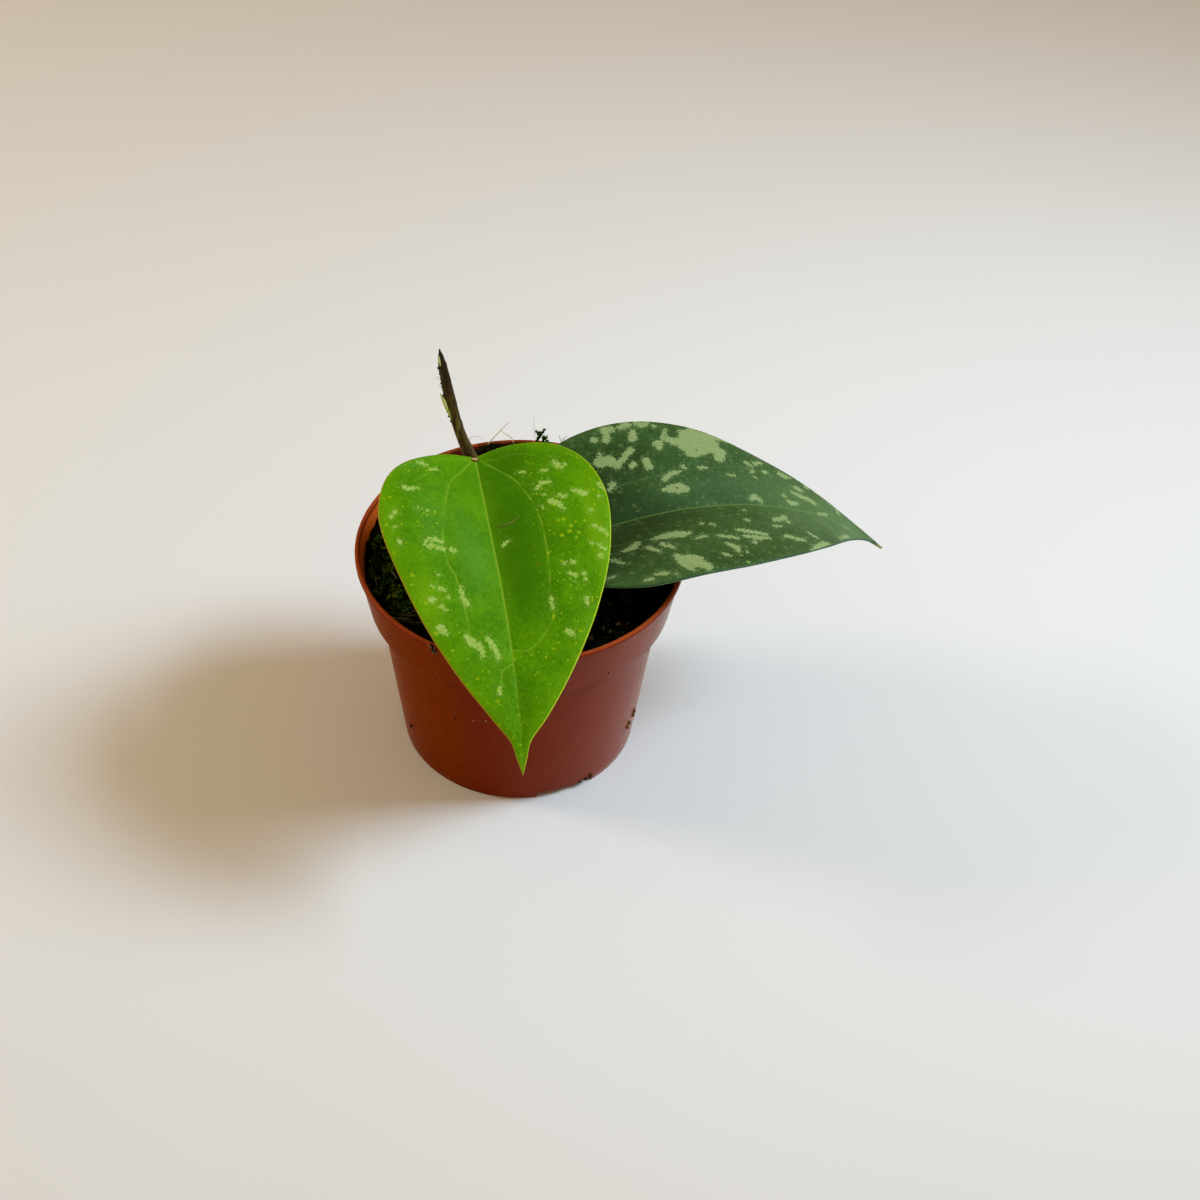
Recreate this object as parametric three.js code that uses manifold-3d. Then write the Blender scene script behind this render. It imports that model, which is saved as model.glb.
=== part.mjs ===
import * as THREE from 'three';
import { mergeVertices } from 'three/addons/utils/BufferGeometryUtils.js';
import Module from 'manifold-3d';

// Potted hoya: a plastic nursery pot, its soil, and a rooted cutting with two leaves.
// Millimetres, +Z up. The origin is the middle of the pot's underside, where it stands.
// The front of the pot is -Y, and the mature leaf reaches out along +X.

const wasm = await Module();
wasm.setup();

// Driving dimensions of the pot
const RIM_RADIUS = 60;
const POT_HEIGHT = 87.5;
const COLLAR_HEIGHT = 22.3;
const COLLAR_FOOT_RADIUS = 55.2;
const BODY_TOP_RADIUS = 52.1;
const FOOT_RADIUS = 43.4;
const WALL = 1.4;
const LIP_WIDTH = 2.2;
const LIP_HEIGHT = 2.8;
const LIP_STEP = 0.8;
const FLOOR_HEIGHT = 3.4;
const FOOT_RING_WIDTH = 1.9;
const ROUNDING = 0.4;
const SHOULDER = 0.8;
const POT_SIDES = 80;

// Cut-outs in the foot ring, drain holes and the centre pad of the underside
const NOTCH_COUNT = 3;
const NOTCH_WIDTH = 22.5;
const NOTCH_HEIGHT = 3;
const NOTCH_DEPTH = 12;
const NOTCH_DIRECTION = -63.5;
const DRAIN_COUNT = 6;
const DRAIN_RADIUS = 4;
const DRAIN_CIRCLE = 29;
const DRAIN_SIDES = 20;
const PAD_RADIUS = 7;

// Soil
const SOIL_LEVEL = 80;
const SOIL_REAR_RISE = 5;
const SOIL_EDGE_HEIGHT = 76;
const SOIL_SIDES = 64;
const SOIL_RINGS = 14;
const GAP = 0.3;

// Blades
const BLADE = 0.9;
const BLADE_ROWS = 32;
const BLADE_STEPS = 7;
const SPOKE_LEAD = 1.25;

// A leaf is laid out on its midrib, a Bezier curve in space. An outline point is a place
// along the midrib, 0 at the stalk and 1 at the tip, and a distance out from it in mm.
// Left and right are seen from above, looking from the stalk to the tip.
// fold is the rise of each half beside the midrib, at the stalk and at the tip, and
// flatten is how fast a half bends back down.
const YOUNG_LEAF = {
  midrib: [[-17.5, 15.7, 114.2], [-7.7, -27, 106.5], [3.5, -68, 97], [6, -96, 71.5]],
  fold: [0.22, 0.06],
  flatten: 0.002,
  leftEdge: [
    [-0.005, 0], [-0.02, 12], [-0.004, 26], [0.05, 36], [0.13, 41.5], [0.23, 43], [0.38, 39.5],
    [0.54, 31.5], [0.7, 20.5], [0.83, 10], [0.9, 3.4], [0.95, 1.6], [1, 0],
  ],
  rightEdge: [
    [-0.005, 0], [-0.013, 12], [0.01, 25], [0.06, 33], [0.15, 37.7], [0.24, 38], [0.38, 34.4],
    [0.54, 28.4], [0.7, 19.5], [0.83, 9.7], [0.9, 3.9], [0.95, 2], [1, 0],
  ],
};
const MATURE_LEAF = {
  midrib: [[11.5, -5, 91], [58, 9, 108], [101.5, 29.5, 95.5], [136.5, 37, 61]],
  fold: [0.28, 0],
  flatten: 0.0012,
  leftEdge: [
    [-0.005, 0], [-0.03, 13], [-0.005, 27], [0.05, 37.5], [0.13, 43], [0.25, 46], [0.37, 45],
    [0.5, 39.6], [0.62, 29.5], [0.76, 18], [0.88, 7], [0.95, 2.2], [1, 0],
  ],
  rightEdge: [
    [-0.005, 0], [-0.03, 12], [-0.005, 24], [0.05, 32], [0.12, 39], [0.19, 42], [0.3, 41],
    [0.43, 38.3], [0.58, 31], [0.72, 20.8], [0.85, 8.6], [0.94, 1.6], [1, 0],
  ],
};

// Stem and stalks, each a list of centre points with the half width across and the half depth.
// The stem is rooted in the soil, swells at two nodes and ends above the leaves in a torn stub.
const STEM = [
  [-9.6, 12.4, 58, 1.6, 1.6],
  [-10.4, 13, 72, 2.2, 2.2],
  [-11.2, 13.6, 84, 2.8, 2.7],
  [-13, 15, 92, 2.2, 2.1],
  [-15.6, 17.2, 101, 2.2, 2.1],
  [-18.2, 19.4, 108.5, 2.8, 2.5],
  [-20.3, 20.2, 114, 2.3, 1.9],
  [-23.7, 20.8, 123.7, 1.7, 1.3],
  [-27, 21.8, 137.3, 1.8, 1.1],
  [-29.3, 22.8, 150, 1.4, 0.9],
  [-30, 23.3, 156.5, 0.35, 0.35],
];
const YOUNG_STALK = [
  [-17.7, 19.6, 104.5, 1.5, 1.5],
  [-17.6, 18.4, 108.8, 2, 2],
];
const MATURE_STALK = [
  [-12.6, 14.2, 84, 1.5, 1.5],
  [-6, 10.2, 84.2, 2, 2],
  [1.5, 3.6, 84.6, 1.9, 1.9],
  [7.2, -2.4, 86.4, 1.9, 1.9],
];
// The end of a stalk runs on under the midrib: places along the leaf and half widths there
const STALK_END = [[0, 1.8], [0.02, 1.5], [0.05, 0.7]];
const TORN_STRIP = [
  [-25.6, 21.2, 127, 0.7, 0.7],
  [-28, 21, 134.4, 0.6, 0.5],
  [-29.9, 20.8, 139.6, 0.3, 0.3],
];
const STEM_SIDES = 14;
const STEM_RINGS = 5;
const BURIED_POINTS = 4;

// Derived sizes
const COLLAR_FOOT = POT_HEIGHT - COLLAR_HEIGHT;
const BODY_TOP = COLLAR_FOOT - SHOULDER;
const FLOOR_TOP = FLOOR_HEIGHT + WALL;
const LIP_FOOT = POT_HEIGHT - LIP_HEIGHT;
const COLLAR_TOP_RADIUS = RIM_RADIUS - LIP_STEP;
const BODY_SLOPE = (BODY_TOP_RADIUS - FOOT_RADIUS) / COLLAR_FOOT;
const COLLAR_SLOPE = (COLLAR_TOP_RADIUS - COLLAR_FOOT_RADIUS) / (LIP_FOOT - COLLAR_FOOT);

function bodyRadius(height) {
  return FOOT_RADIUS + BODY_SLOPE * height;
}

function collarRadius(height) {
  return COLLAR_FOOT_RADIUS + COLLAR_SLOPE * (height - COLLAR_FOOT);
}

function toSolid(geometry) {
  const bare = new THREE.BufferGeometry();
  bare.setAttribute('position', geometry.getAttribute('position'));
  if (geometry.index) bare.setIndex(geometry.index);
  const merged = mergeVertices(bare, 1e-4);
  const mesh = new wasm.Mesh({
    numProp: 3,
    vertProperties: new Float32Array(merged.getAttribute('position').array),
    triVerts: new Uint32Array(merged.index.array),
  });
  return new wasm.Manifold(mesh);
}

function toGeometry(solid) {
  const mesh = solid.getMesh();
  const geometry = new THREE.BufferGeometry();
  geometry.setAttribute('position', new THREE.BufferAttribute(mesh.vertProperties, 3));
  geometry.setIndex(new THREE.BufferAttribute(mesh.triVerts, 1));
  geometry.computeVertexNormals();
  return geometry;
}

// A closed profile of [radius, height] points turned about the Z axis
function turned(profile, sides) {
  const points = profile.map(([radius, height]) => new THREE.Vector2(radius, height));
  const geometry = new THREE.LatheGeometry(points, sides);
  geometry.rotateX(Math.PI / 2);
  return geometry;
}

// A round or flattened tube along a smooth curve, its width and depth changing from point to point
function tube(points, across, extra = 0) {
  const places = points.map(([x, y, z]) => new THREE.Vector3(x, y, z));
  const curve = new THREE.CatmullRomCurve3(places, false, 'catmullrom', 0.5);
  const rings = (points.length - 1) * STEM_RINGS;
  const positions = [];
  const index = [];
  for (let ring = 0; ring <= rings; ring += 1) {
    const along = ring / rings;
    const centre = curve.getPoint(along);
    const heading = curve.getTangent(along);
    const side = new THREE.Vector3().crossVectors(across, heading).normalize();
    const depth = new THREE.Vector3().crossVectors(heading, side);
    const place = along * (points.length - 1);
    const before = Math.min(Math.floor(place), points.length - 2);
    const blend = place - before;
    const halfWidth = THREE.MathUtils.lerp(points[before][3], points[before + 1][3], blend) + extra;
    const halfDepth = THREE.MathUtils.lerp(points[before][4], points[before + 1][4], blend) + extra;
    for (let step = 0; step < STEM_SIDES; step += 1) {
      const angle = (step / STEM_SIDES) * 2 * Math.PI;
      const point = centre.clone();
      point.addScaledVector(side, halfWidth * Math.cos(angle));
      point.addScaledVector(depth, halfDepth * Math.sin(angle));
      positions.push(point.x, point.y, point.z);
    }
  }
  const first = curve.getPoint(0);
  const last = curve.getPoint(1);
  const firstId = positions.length / 3;
  const lastId = firstId + 1;
  positions.push(first.x, first.y, first.z, last.x, last.y, last.z);
  for (let step = 0; step < STEM_SIDES; step += 1) {
    const next = (step + 1) % STEM_SIDES;
    for (let ring = 0; ring < rings; ring += 1) {
      const low = ring * STEM_SIDES;
      const high = low + STEM_SIDES;
      index.push(low + step, low + next, high + next);
      index.push(low + step, high + next, high + step);
    }
    index.push(firstId, next, step);
    index.push(lastId, rings * STEM_SIDES + step, rings * STEM_SIDES + next);
  }
  const geometry = new THREE.BufferGeometry();
  geometry.setAttribute('position', new THREE.Float32BufferAttribute(positions, 3));
  geometry.setIndex(index);
  return geometry;
}

// Pot: underside, outer wall, lip and inner wall in one turned profile
function potProfile() {
  const ringInside = FOOT_RADIUS - FOOT_RING_WIDTH;
  const underside = [
    [0, 0],
    [PAD_RADIUS - ROUNDING, 0],
    [PAD_RADIUS, ROUNDING],
    [PAD_RADIUS, FLOOR_HEIGHT],
    [ringInside, FLOOR_HEIGHT],
    [ringInside, ROUNDING],
    [ringInside + ROUNDING, 0],
    [FOOT_RADIUS - ROUNDING, 0],
  ];
  const outside = [
    [bodyRadius(ROUNDING), ROUNDING],
    [bodyRadius(POT_HEIGHT / 4), POT_HEIGHT / 4],
    [bodyRadius(POT_HEIGHT / 2), POT_HEIGHT / 2],
    [bodyRadius(BODY_TOP - SHOULDER), BODY_TOP - SHOULDER],
    [BODY_TOP_RADIUS + ROUNDING, BODY_TOP],
    [COLLAR_FOOT_RADIUS - SHOULDER, COLLAR_FOOT],
    [COLLAR_FOOT_RADIUS, COLLAR_FOOT + SHOULDER],
    [collarRadius(LIP_FOOT), LIP_FOOT],
  ];
  const lip = [
    [RIM_RADIUS - ROUNDING / 2, LIP_FOOT + ROUNDING],
    [RIM_RADIUS, LIP_FOOT + 2 * ROUNDING],
    [RIM_RADIUS, POT_HEIGHT - 2 * ROUNDING],
    [RIM_RADIUS - ROUNDING, POT_HEIGHT - ROUNDING / 2],
    [RIM_RADIUS - 2 * ROUNDING, POT_HEIGHT],
    [RIM_RADIUS - LIP_WIDTH + ROUNDING, POT_HEIGHT],
    [RIM_RADIUS - LIP_WIDTH, POT_HEIGHT - ROUNDING],
  ];
  const inside = [
    [collarRadius(LIP_FOOT) - WALL, LIP_FOOT],
    [COLLAR_FOOT_RADIUS - WALL, COLLAR_FOOT + 2 * SHOULDER],
    [COLLAR_FOOT_RADIUS - WALL - SHOULDER, COLLAR_FOOT + SHOULDER],
    [bodyRadius(BODY_TOP) - WALL, BODY_TOP],
    [bodyRadius(FLOOR_TOP) - WALL, FLOOR_TOP + ROUNDING],
    [bodyRadius(FLOOR_TOP) - WALL - ROUNDING, FLOOR_TOP],
    [0, FLOOR_TOP],
  ];
  return [...underside, ...outside, ...lip, ...inside];
}

// Placed on a circle about the Z axis, in one of a number of even directions
function around(cutter, radius, place, count) {
  const direction = THREE.MathUtils.degToRad(NOTCH_DIRECTION + (place * 360) / count);
  cutter.translate(radius, 0, 0);
  cutter.rotateZ(direction);
  return toSolid(cutter);
}

function makePot() {
  let pot = toSolid(turned(potProfile(), POT_SIDES));
  for (let notch = 0; notch < NOTCH_COUNT; notch += 1) {
    const cutter = new THREE.BoxGeometry(NOTCH_DEPTH, NOTCH_WIDTH, 2 * NOTCH_HEIGHT);
    pot = pot.subtract(around(cutter, FOOT_RADIUS, notch, NOTCH_COUNT));
  }
  for (let drain = 0; drain < DRAIN_COUNT; drain += 1) {
    const cutter = new THREE.CylinderGeometry(DRAIN_RADIUS, DRAIN_RADIUS, 3 * FLOOR_TOP, DRAIN_SIDES);
    cutter.rotateX(Math.PI / 2);
    pot = pot.subtract(around(cutter, DRAIN_CIRCLE, drain, DRAIN_COUNT));
  }
  return toGeometry(pot);
}

// Soil: fills the pot, a little lumpy on top and heaped against the rear wall
function soilTop(x, y) {
  const rear = THREE.MathUtils.smoothstep(y, 15, 50) * SOIL_REAR_RISE;
  const swell = 0.8 * Math.sin(0.21 * x + 1.1) * Math.cos(0.19 * y - 0.6);
  const lumps = 0.45 * Math.sin(0.67 * x - 0.41 * y + 2) + 0.35 * Math.cos(0.52 * x + 0.83 * y);
  return SOIL_LEVEL + rear + swell + lumps;
}

// The soil meets the inside of the collar
function soilRadius(height) {
  return collarRadius(Math.min(height, LIP_FOOT)) - WALL - GAP;
}

function soilProfile() {
  const inset = WALL + GAP;
  const low = FLOOR_TOP + GAP;
  const side = [
    [0, low],
    [bodyRadius(low) - inset - SHOULDER, low],
    [bodyRadius(low) - inset, low + SHOULDER],
    [bodyRadius(BODY_TOP) - inset, BODY_TOP],
    [COLLAR_FOOT_RADIUS - inset - SHOULDER, COLLAR_FOOT + 2 * SHOULDER],
    [COLLAR_FOOT_RADIUS - inset, COLLAR_FOOT + 3 * SHOULDER],
    [soilRadius(SOIL_EDGE_HEIGHT), SOIL_EDGE_HEIGHT],
  ];
  const top = [];
  for (let ring = 0; ring <= SOIL_RINGS; ring += 1) {
    top.push([soilRadius(SOIL_EDGE_HEIGHT) * (1 - ring / SOIL_RINGS), SOIL_LEVEL]);
  }
  return [...side, ...top];
}

// The hole that the rooted stem stands in, a little wider and deeper than the stem
function stemHole() {
  const [x, y, foot, radius] = STEM[0];
  const below = new THREE.CylinderGeometry(radius + GAP, radius + GAP, 4 * GAP, STEM_SIDES);
  below.rotateX(Math.PI / 2);
  below.translate(x, y, foot + GAP);
  const sleeve = tube(STEM.slice(0, BURIED_POINTS), new THREE.Vector3(0, 1, 0), GAP);
  return toSolid(sleeve).add(toSolid(below));
}

function makeSoil() {
  const geometry = turned(soilProfile(), SOIL_SIDES);
  const position = geometry.getAttribute('position');
  for (let id = 0; id < position.count; id += 1) {
    if (position.getZ(id) > (SOIL_EDGE_HEIGHT + SOIL_LEVEL) / 2) {
      const x = position.getX(id);
      const y = position.getY(id);
      const height = soilTop(x, y);
      const flare = soilRadius(height) / soilRadius(SOIL_EDGE_HEIGHT);
      position.setXYZ(id, x * flare, y * flare, height);
    }
  }
  return toGeometry(toSolid(geometry).subtract(stemHole()));
}

// Leaf: the frame of the midrib at a place along it
function midribFrame(leaf, along) {
  const [a, b, c, d] = leaf.midrib.map(([x, y, z]) => new THREE.Vector3(x, y, z));
  const rest = 1 - along;
  const place = new THREE.Vector3();
  place.addScaledVector(a, rest ** 3);
  place.addScaledVector(b, 3 * rest * rest * along);
  place.addScaledVector(c, 3 * rest * along * along);
  place.addScaledVector(d, along ** 3);
  const heading = new THREE.Vector3();
  heading.addScaledVector(b.clone().sub(a), rest * rest);
  heading.addScaledVector(c.clone().sub(b), 2 * rest * along);
  heading.addScaledVector(d.clone().sub(c), along * along);
  heading.normalize();
  const left = new THREE.Vector3(0, 0, 1).cross(heading).normalize();
  const up = new THREE.Vector3().crossVectors(heading, left);
  return { place, left, up };
}

// A point of the blade, out to the left of the midrib where out is positive
function bladePoint(leaf, along, out, lift) {
  const { place, left, up } = midribFrame(leaf, along);
  const inside = THREE.MathUtils.clamp(along, 0, 1);
  const fold = THREE.MathUtils.lerp(leaf.fold[0], leaf.fold[1], inside);
  const rise = fold * Math.abs(out) - leaf.flatten * out * out;
  return place.addScaledVector(left, out).addScaledVector(up, rise + lift);
}

// A stalk keeps just clear of the blade that it carries
function stalkPoints(start, leaf) {
  const end = STALK_END.map(([along, radius]) => {
    const point = bladePoint(leaf, along, 0, -BLADE / 2 - GAP - radius);
    return [point.x, point.y, point.z, radius, radius];
  });
  return start.concat(end);
}

function makeStem() {
  const forward = new THREE.Vector3(0, 1, 0);
  const upward = new THREE.Vector3(0, 0, 1);
  const sideways = new THREE.Vector3(1, 0, 0);
  const stem = toSolid(tube(STEM, forward))
    .add(toSolid(tube(stalkPoints(YOUNG_STALK, YOUNG_LEAF), sideways)))
    .add(toSolid(tube(stalkPoints(MATURE_STALK, MATURE_LEAF), upward)))
    .add(toSolid(tube(TORN_STRIP, forward)));
  return toGeometry(stem);
}

// One half of a blade: spokes run from the midrib to the edge, alike on the top and the underside
function bladeSpokes(leaf, edge, sign) {
  const places = edge.map(([along, out]) => new THREE.Vector3(along, out, 0));
  const outline = new THREE.CatmullRomCurve3(places, false, 'catmullrom', 0.5);
  const spokes = [];
  for (let row = 0; row <= BLADE_ROWS; row += 1) {
    const share = row / BLADE_ROWS;
    const rim = outline.getPoint(share);
    const spoke = [];
    for (let step = 0; step <= BLADE_STEPS; step += 1) {
      const reach = step / BLADE_STEPS;
      const along = THREE.MathUtils.lerp(share ** SPOKE_LEAD, rim.x, reach);
      const out = sign * rim.y * reach;
      const top = bladePoint(leaf, along, out, BLADE / 2);
      const underside = bladePoint(leaf, along, out, -BLADE / 2);
      spoke.push({ top, underside });
    }
    spokes.push(spoke);
  }
  return spokes;
}

// The last spoke is the tip, where the rows close into single triangles
function halfBlade(leaf, edge, sign) {
  const spokes = bladeSpokes(leaf, edge, sign);
  const triangles = [];
  const add = (a, b, c) => triangles.push(...(sign > 0 ? [a, b, c] : [a, c, b]));
  for (let row = 0; row < BLADE_ROWS; row += 1) {
    const near = spokes[row];
    const far = spokes[row + 1];
    const open = row + 1 < BLADE_ROWS;
    for (let step = 0; step < BLADE_STEPS; step += 1) {
      add(near[step].top, far[step + 1].top, near[step + 1].top);
      add(near[step].underside, near[step + 1].underside, far[step + 1].underside);
      if (open) {
        add(near[step].top, far[step].top, far[step + 1].top);
        add(near[step].underside, far[step + 1].underside, far[step].underside);
      }
    }
    const rim = near[BLADE_STEPS];
    const next = far[BLADE_STEPS];
    add(rim.top, next.top, next.underside);
    add(rim.top, next.underside, rim.underside);
  }
  return triangles;
}

function makeLeaf(leaf) {
  const triangles = [...halfBlade(leaf, leaf.leftEdge, 1), ...halfBlade(leaf, leaf.rightEdge, -1)];
  const positions = triangles.flatMap((point) => [point.x, point.y, point.z]);
  const geometry = new THREE.BufferGeometry();
  geometry.setAttribute('position', new THREE.Float32BufferAttribute(positions, 3));
  return toGeometry(toSolid(geometry));
}

// Materials
function terracottaPlastic() {
  return new THREE.MeshStandardMaterial({ color: 0x8c3c22, roughness: 0.45, metalness: 0 });
}

function pottingMix() {
  return new THREE.MeshStandardMaterial({ color: 0x15110b, roughness: 1, metalness: 0 });
}

function driedBark() {
  return new THREE.MeshStandardMaterial({ color: 0x3d2b22, roughness: 0.75, metalness: 0 });
}

function limeBlade() {
  return new THREE.MeshStandardMaterial({ color: 0x6fa512, roughness: 0.4, metalness: 0 });
}

function darkBlade() {
  return new THREE.MeshStandardMaterial({ color: 0x2f5428, roughness: 0.42, metalness: 0 });
}

function named(name, geometry, material) {
  const mesh = new THREE.Mesh(geometry, material);
  mesh.name = name;
  return mesh;
}

const plant = new THREE.Group();
plant.add(named('pot', makePot(), terracottaPlastic()));
plant.add(named('soil', makeSoil(), pottingMix()));
plant.add(named('stem', makeStem(), driedBark()));
plant.add(named('leaf_young', makeLeaf(YOUNG_LEAF), limeBlade()));
plant.add(named('leaf_mature', makeLeaf(MATURE_LEAF), darkBlade()));

export default plant;
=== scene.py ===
import math
import random

import bmesh
import bpy
import numpy as np
from mathutils import Matrix, Vector, noise


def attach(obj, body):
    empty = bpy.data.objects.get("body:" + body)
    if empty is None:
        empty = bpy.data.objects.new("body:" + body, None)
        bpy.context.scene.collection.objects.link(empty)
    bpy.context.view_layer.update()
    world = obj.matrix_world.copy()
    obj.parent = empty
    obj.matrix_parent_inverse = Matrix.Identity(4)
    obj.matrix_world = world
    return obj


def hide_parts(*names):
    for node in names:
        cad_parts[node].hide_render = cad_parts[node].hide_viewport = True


# Potted hoya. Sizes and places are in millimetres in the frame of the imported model: the origin
# is the middle of the pot's underside, +Z is up, -Y is the front. Meshes are scaled to metres.
MM = 0.001
TURN = 6.283
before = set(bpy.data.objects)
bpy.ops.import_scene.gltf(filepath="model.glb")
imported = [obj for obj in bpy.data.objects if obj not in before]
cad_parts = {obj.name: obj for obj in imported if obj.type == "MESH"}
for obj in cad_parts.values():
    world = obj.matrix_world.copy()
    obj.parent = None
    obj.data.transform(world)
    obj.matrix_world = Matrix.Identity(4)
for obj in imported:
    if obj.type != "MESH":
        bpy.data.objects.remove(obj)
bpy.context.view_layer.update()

# Camera: the photograph's viewpoint
EYE = (29.55, -607.61, 632.34)
LOOK_DOWN = 43.1756
ROLL = 2.4435
LENS = 67.5
SENSOR = 36

# Lights: name, direction, distance in metres, size, watts, colour and spread in degrees
LIGHTS = [
    ("window", (0.72, 0.12, 0.68), 1.5, 0.6, 2.8, (0.65, 0.83, 0.99), 54),
    ("warm_lamp", (-0.85, 0.1, 0.45), 1.6, 0.35, 7, (1.0, 0.9, 0.72), 180)]
LIGHT_AIM = (0.09, 0.03, 0.02)
ROOM_COLOUR = (0.39, 0.27, 0.145, 1)
FLOOR_REACH = 1500

# Pot. Profile points are radius and height, and those of the collar's step count from the top of
# the body. A notch is its depth, width and height. Directions are in degrees from +X.
RIM_RADIUS = 60
POT_HEIGHT = 87.5
COLLAR_FOOT = 65.8
COLLAR_FOOT_RADIUS = 55.7
COLLAR_TOP_RADIUS = 59.2
BODY_TOP_RADIUS = 52.1
FOOT_RADIUS = 44.1
WALL = 1.4
LIP_WIDTH = 1.6
LIP_FOOT = 84.7
FLOOR_HEIGHT = 3.4
FOOT_RING_WIDTH = 1.9
PAD_RADIUS = 7
ROUNDING = 0.4
CHAMFER = 0.12
COLLAR_STEP = [(0.02, -1.9), (0.15, -1.1), (0.6, -0.7), (1.4, -0.5), (3.1, -0.4), (3.45, -0.25), (3.6, 0.05)]
LIP_TURN = [
    (59.6, 84.85), (59.9, 85.2), (RIM_RADIUS, 85.6), (RIM_RADIUS, 86.8), (59.88, 87.2), (59.6, 87.44),
    (59.3, POT_HEIGHT), (59.1, POT_HEIGHT), (58.75, 87.4), (58.5, 87.15)]
INNER_STEP = [(53.8, 66.8), (53.5, 66.3), (53, 66), (51.2, 65.1)]
INNER_FROM = 66
REAR_BULGE = 0.9
POT_SIDES = 192
NOTCHES = 3
NOTCH = (12, 22.5, 6)
NOTCH_DIRECTION = -63.5
DRAINS = 6
DRAIN_RADIUS = 4
DRAIN_CIRCLE = 29

# Soil. A heap against the wall is its rise, its direction and how far it spreads in degrees.
SOIL_LEVEL = 80
SOIL_REAR_RISE = 5
SOIL_GAP = 0.3
SOIL_REACH = 56
SOIL_SIDES = 540
SOIL_RINGS = 96
CRUMBS = 1700
CRUMB_SEED = 11
CRUMB_REACH = 55.4
FINEST_CRUMB, CRUMB_RANGE = 0.28, 0.75
REAR_CRUMBS = 350
REAR_TURNS, REAR_REACHES = (60, 125), (44, 56)
LEFT_HEAP = (2.4, 163, 12)
REAR_HEAP = (2.7, 92, 34)

# Leaves, as in the part's source. An outline point is a place along the midrib, 0 at the stalk
# and 1 at the tip, and a distance out from it. Veins and patches are in millimetres along the
# midrib and out from it, to the left where positive, looking from the stalk to the tip. A patch
# is one or more stops in a row, each a place along, a place out and a half width. A spot of
# painted light and shade, and one of painted sheen, is a place along and out, its two reaches
# and its strength, below 0 for painted shade.
BLADE = 0.9
MARGIN_ROUND = 0.6
MARGIN_STEPS = (0.7, 0.42, 0.17, 0)
QUIET_MARGIN = 3
MIDRIB_GROOVE, VEIN_GROOVE, FAINT_GROOVE = 0.16, 0.1, 0.06
MIDRIB_RIDGE, VEIN_RIDGE = 0.6, 0.12
BLADE_SWELL, SWELL_SCALE, BLADE_PILLOW = 0.35, 0.055, 0.16
ROWS = 360
TOP_COLUMNS, UNDER_COLUMNS = 76, 18
SPOKE_LEAD = 1.25
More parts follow.
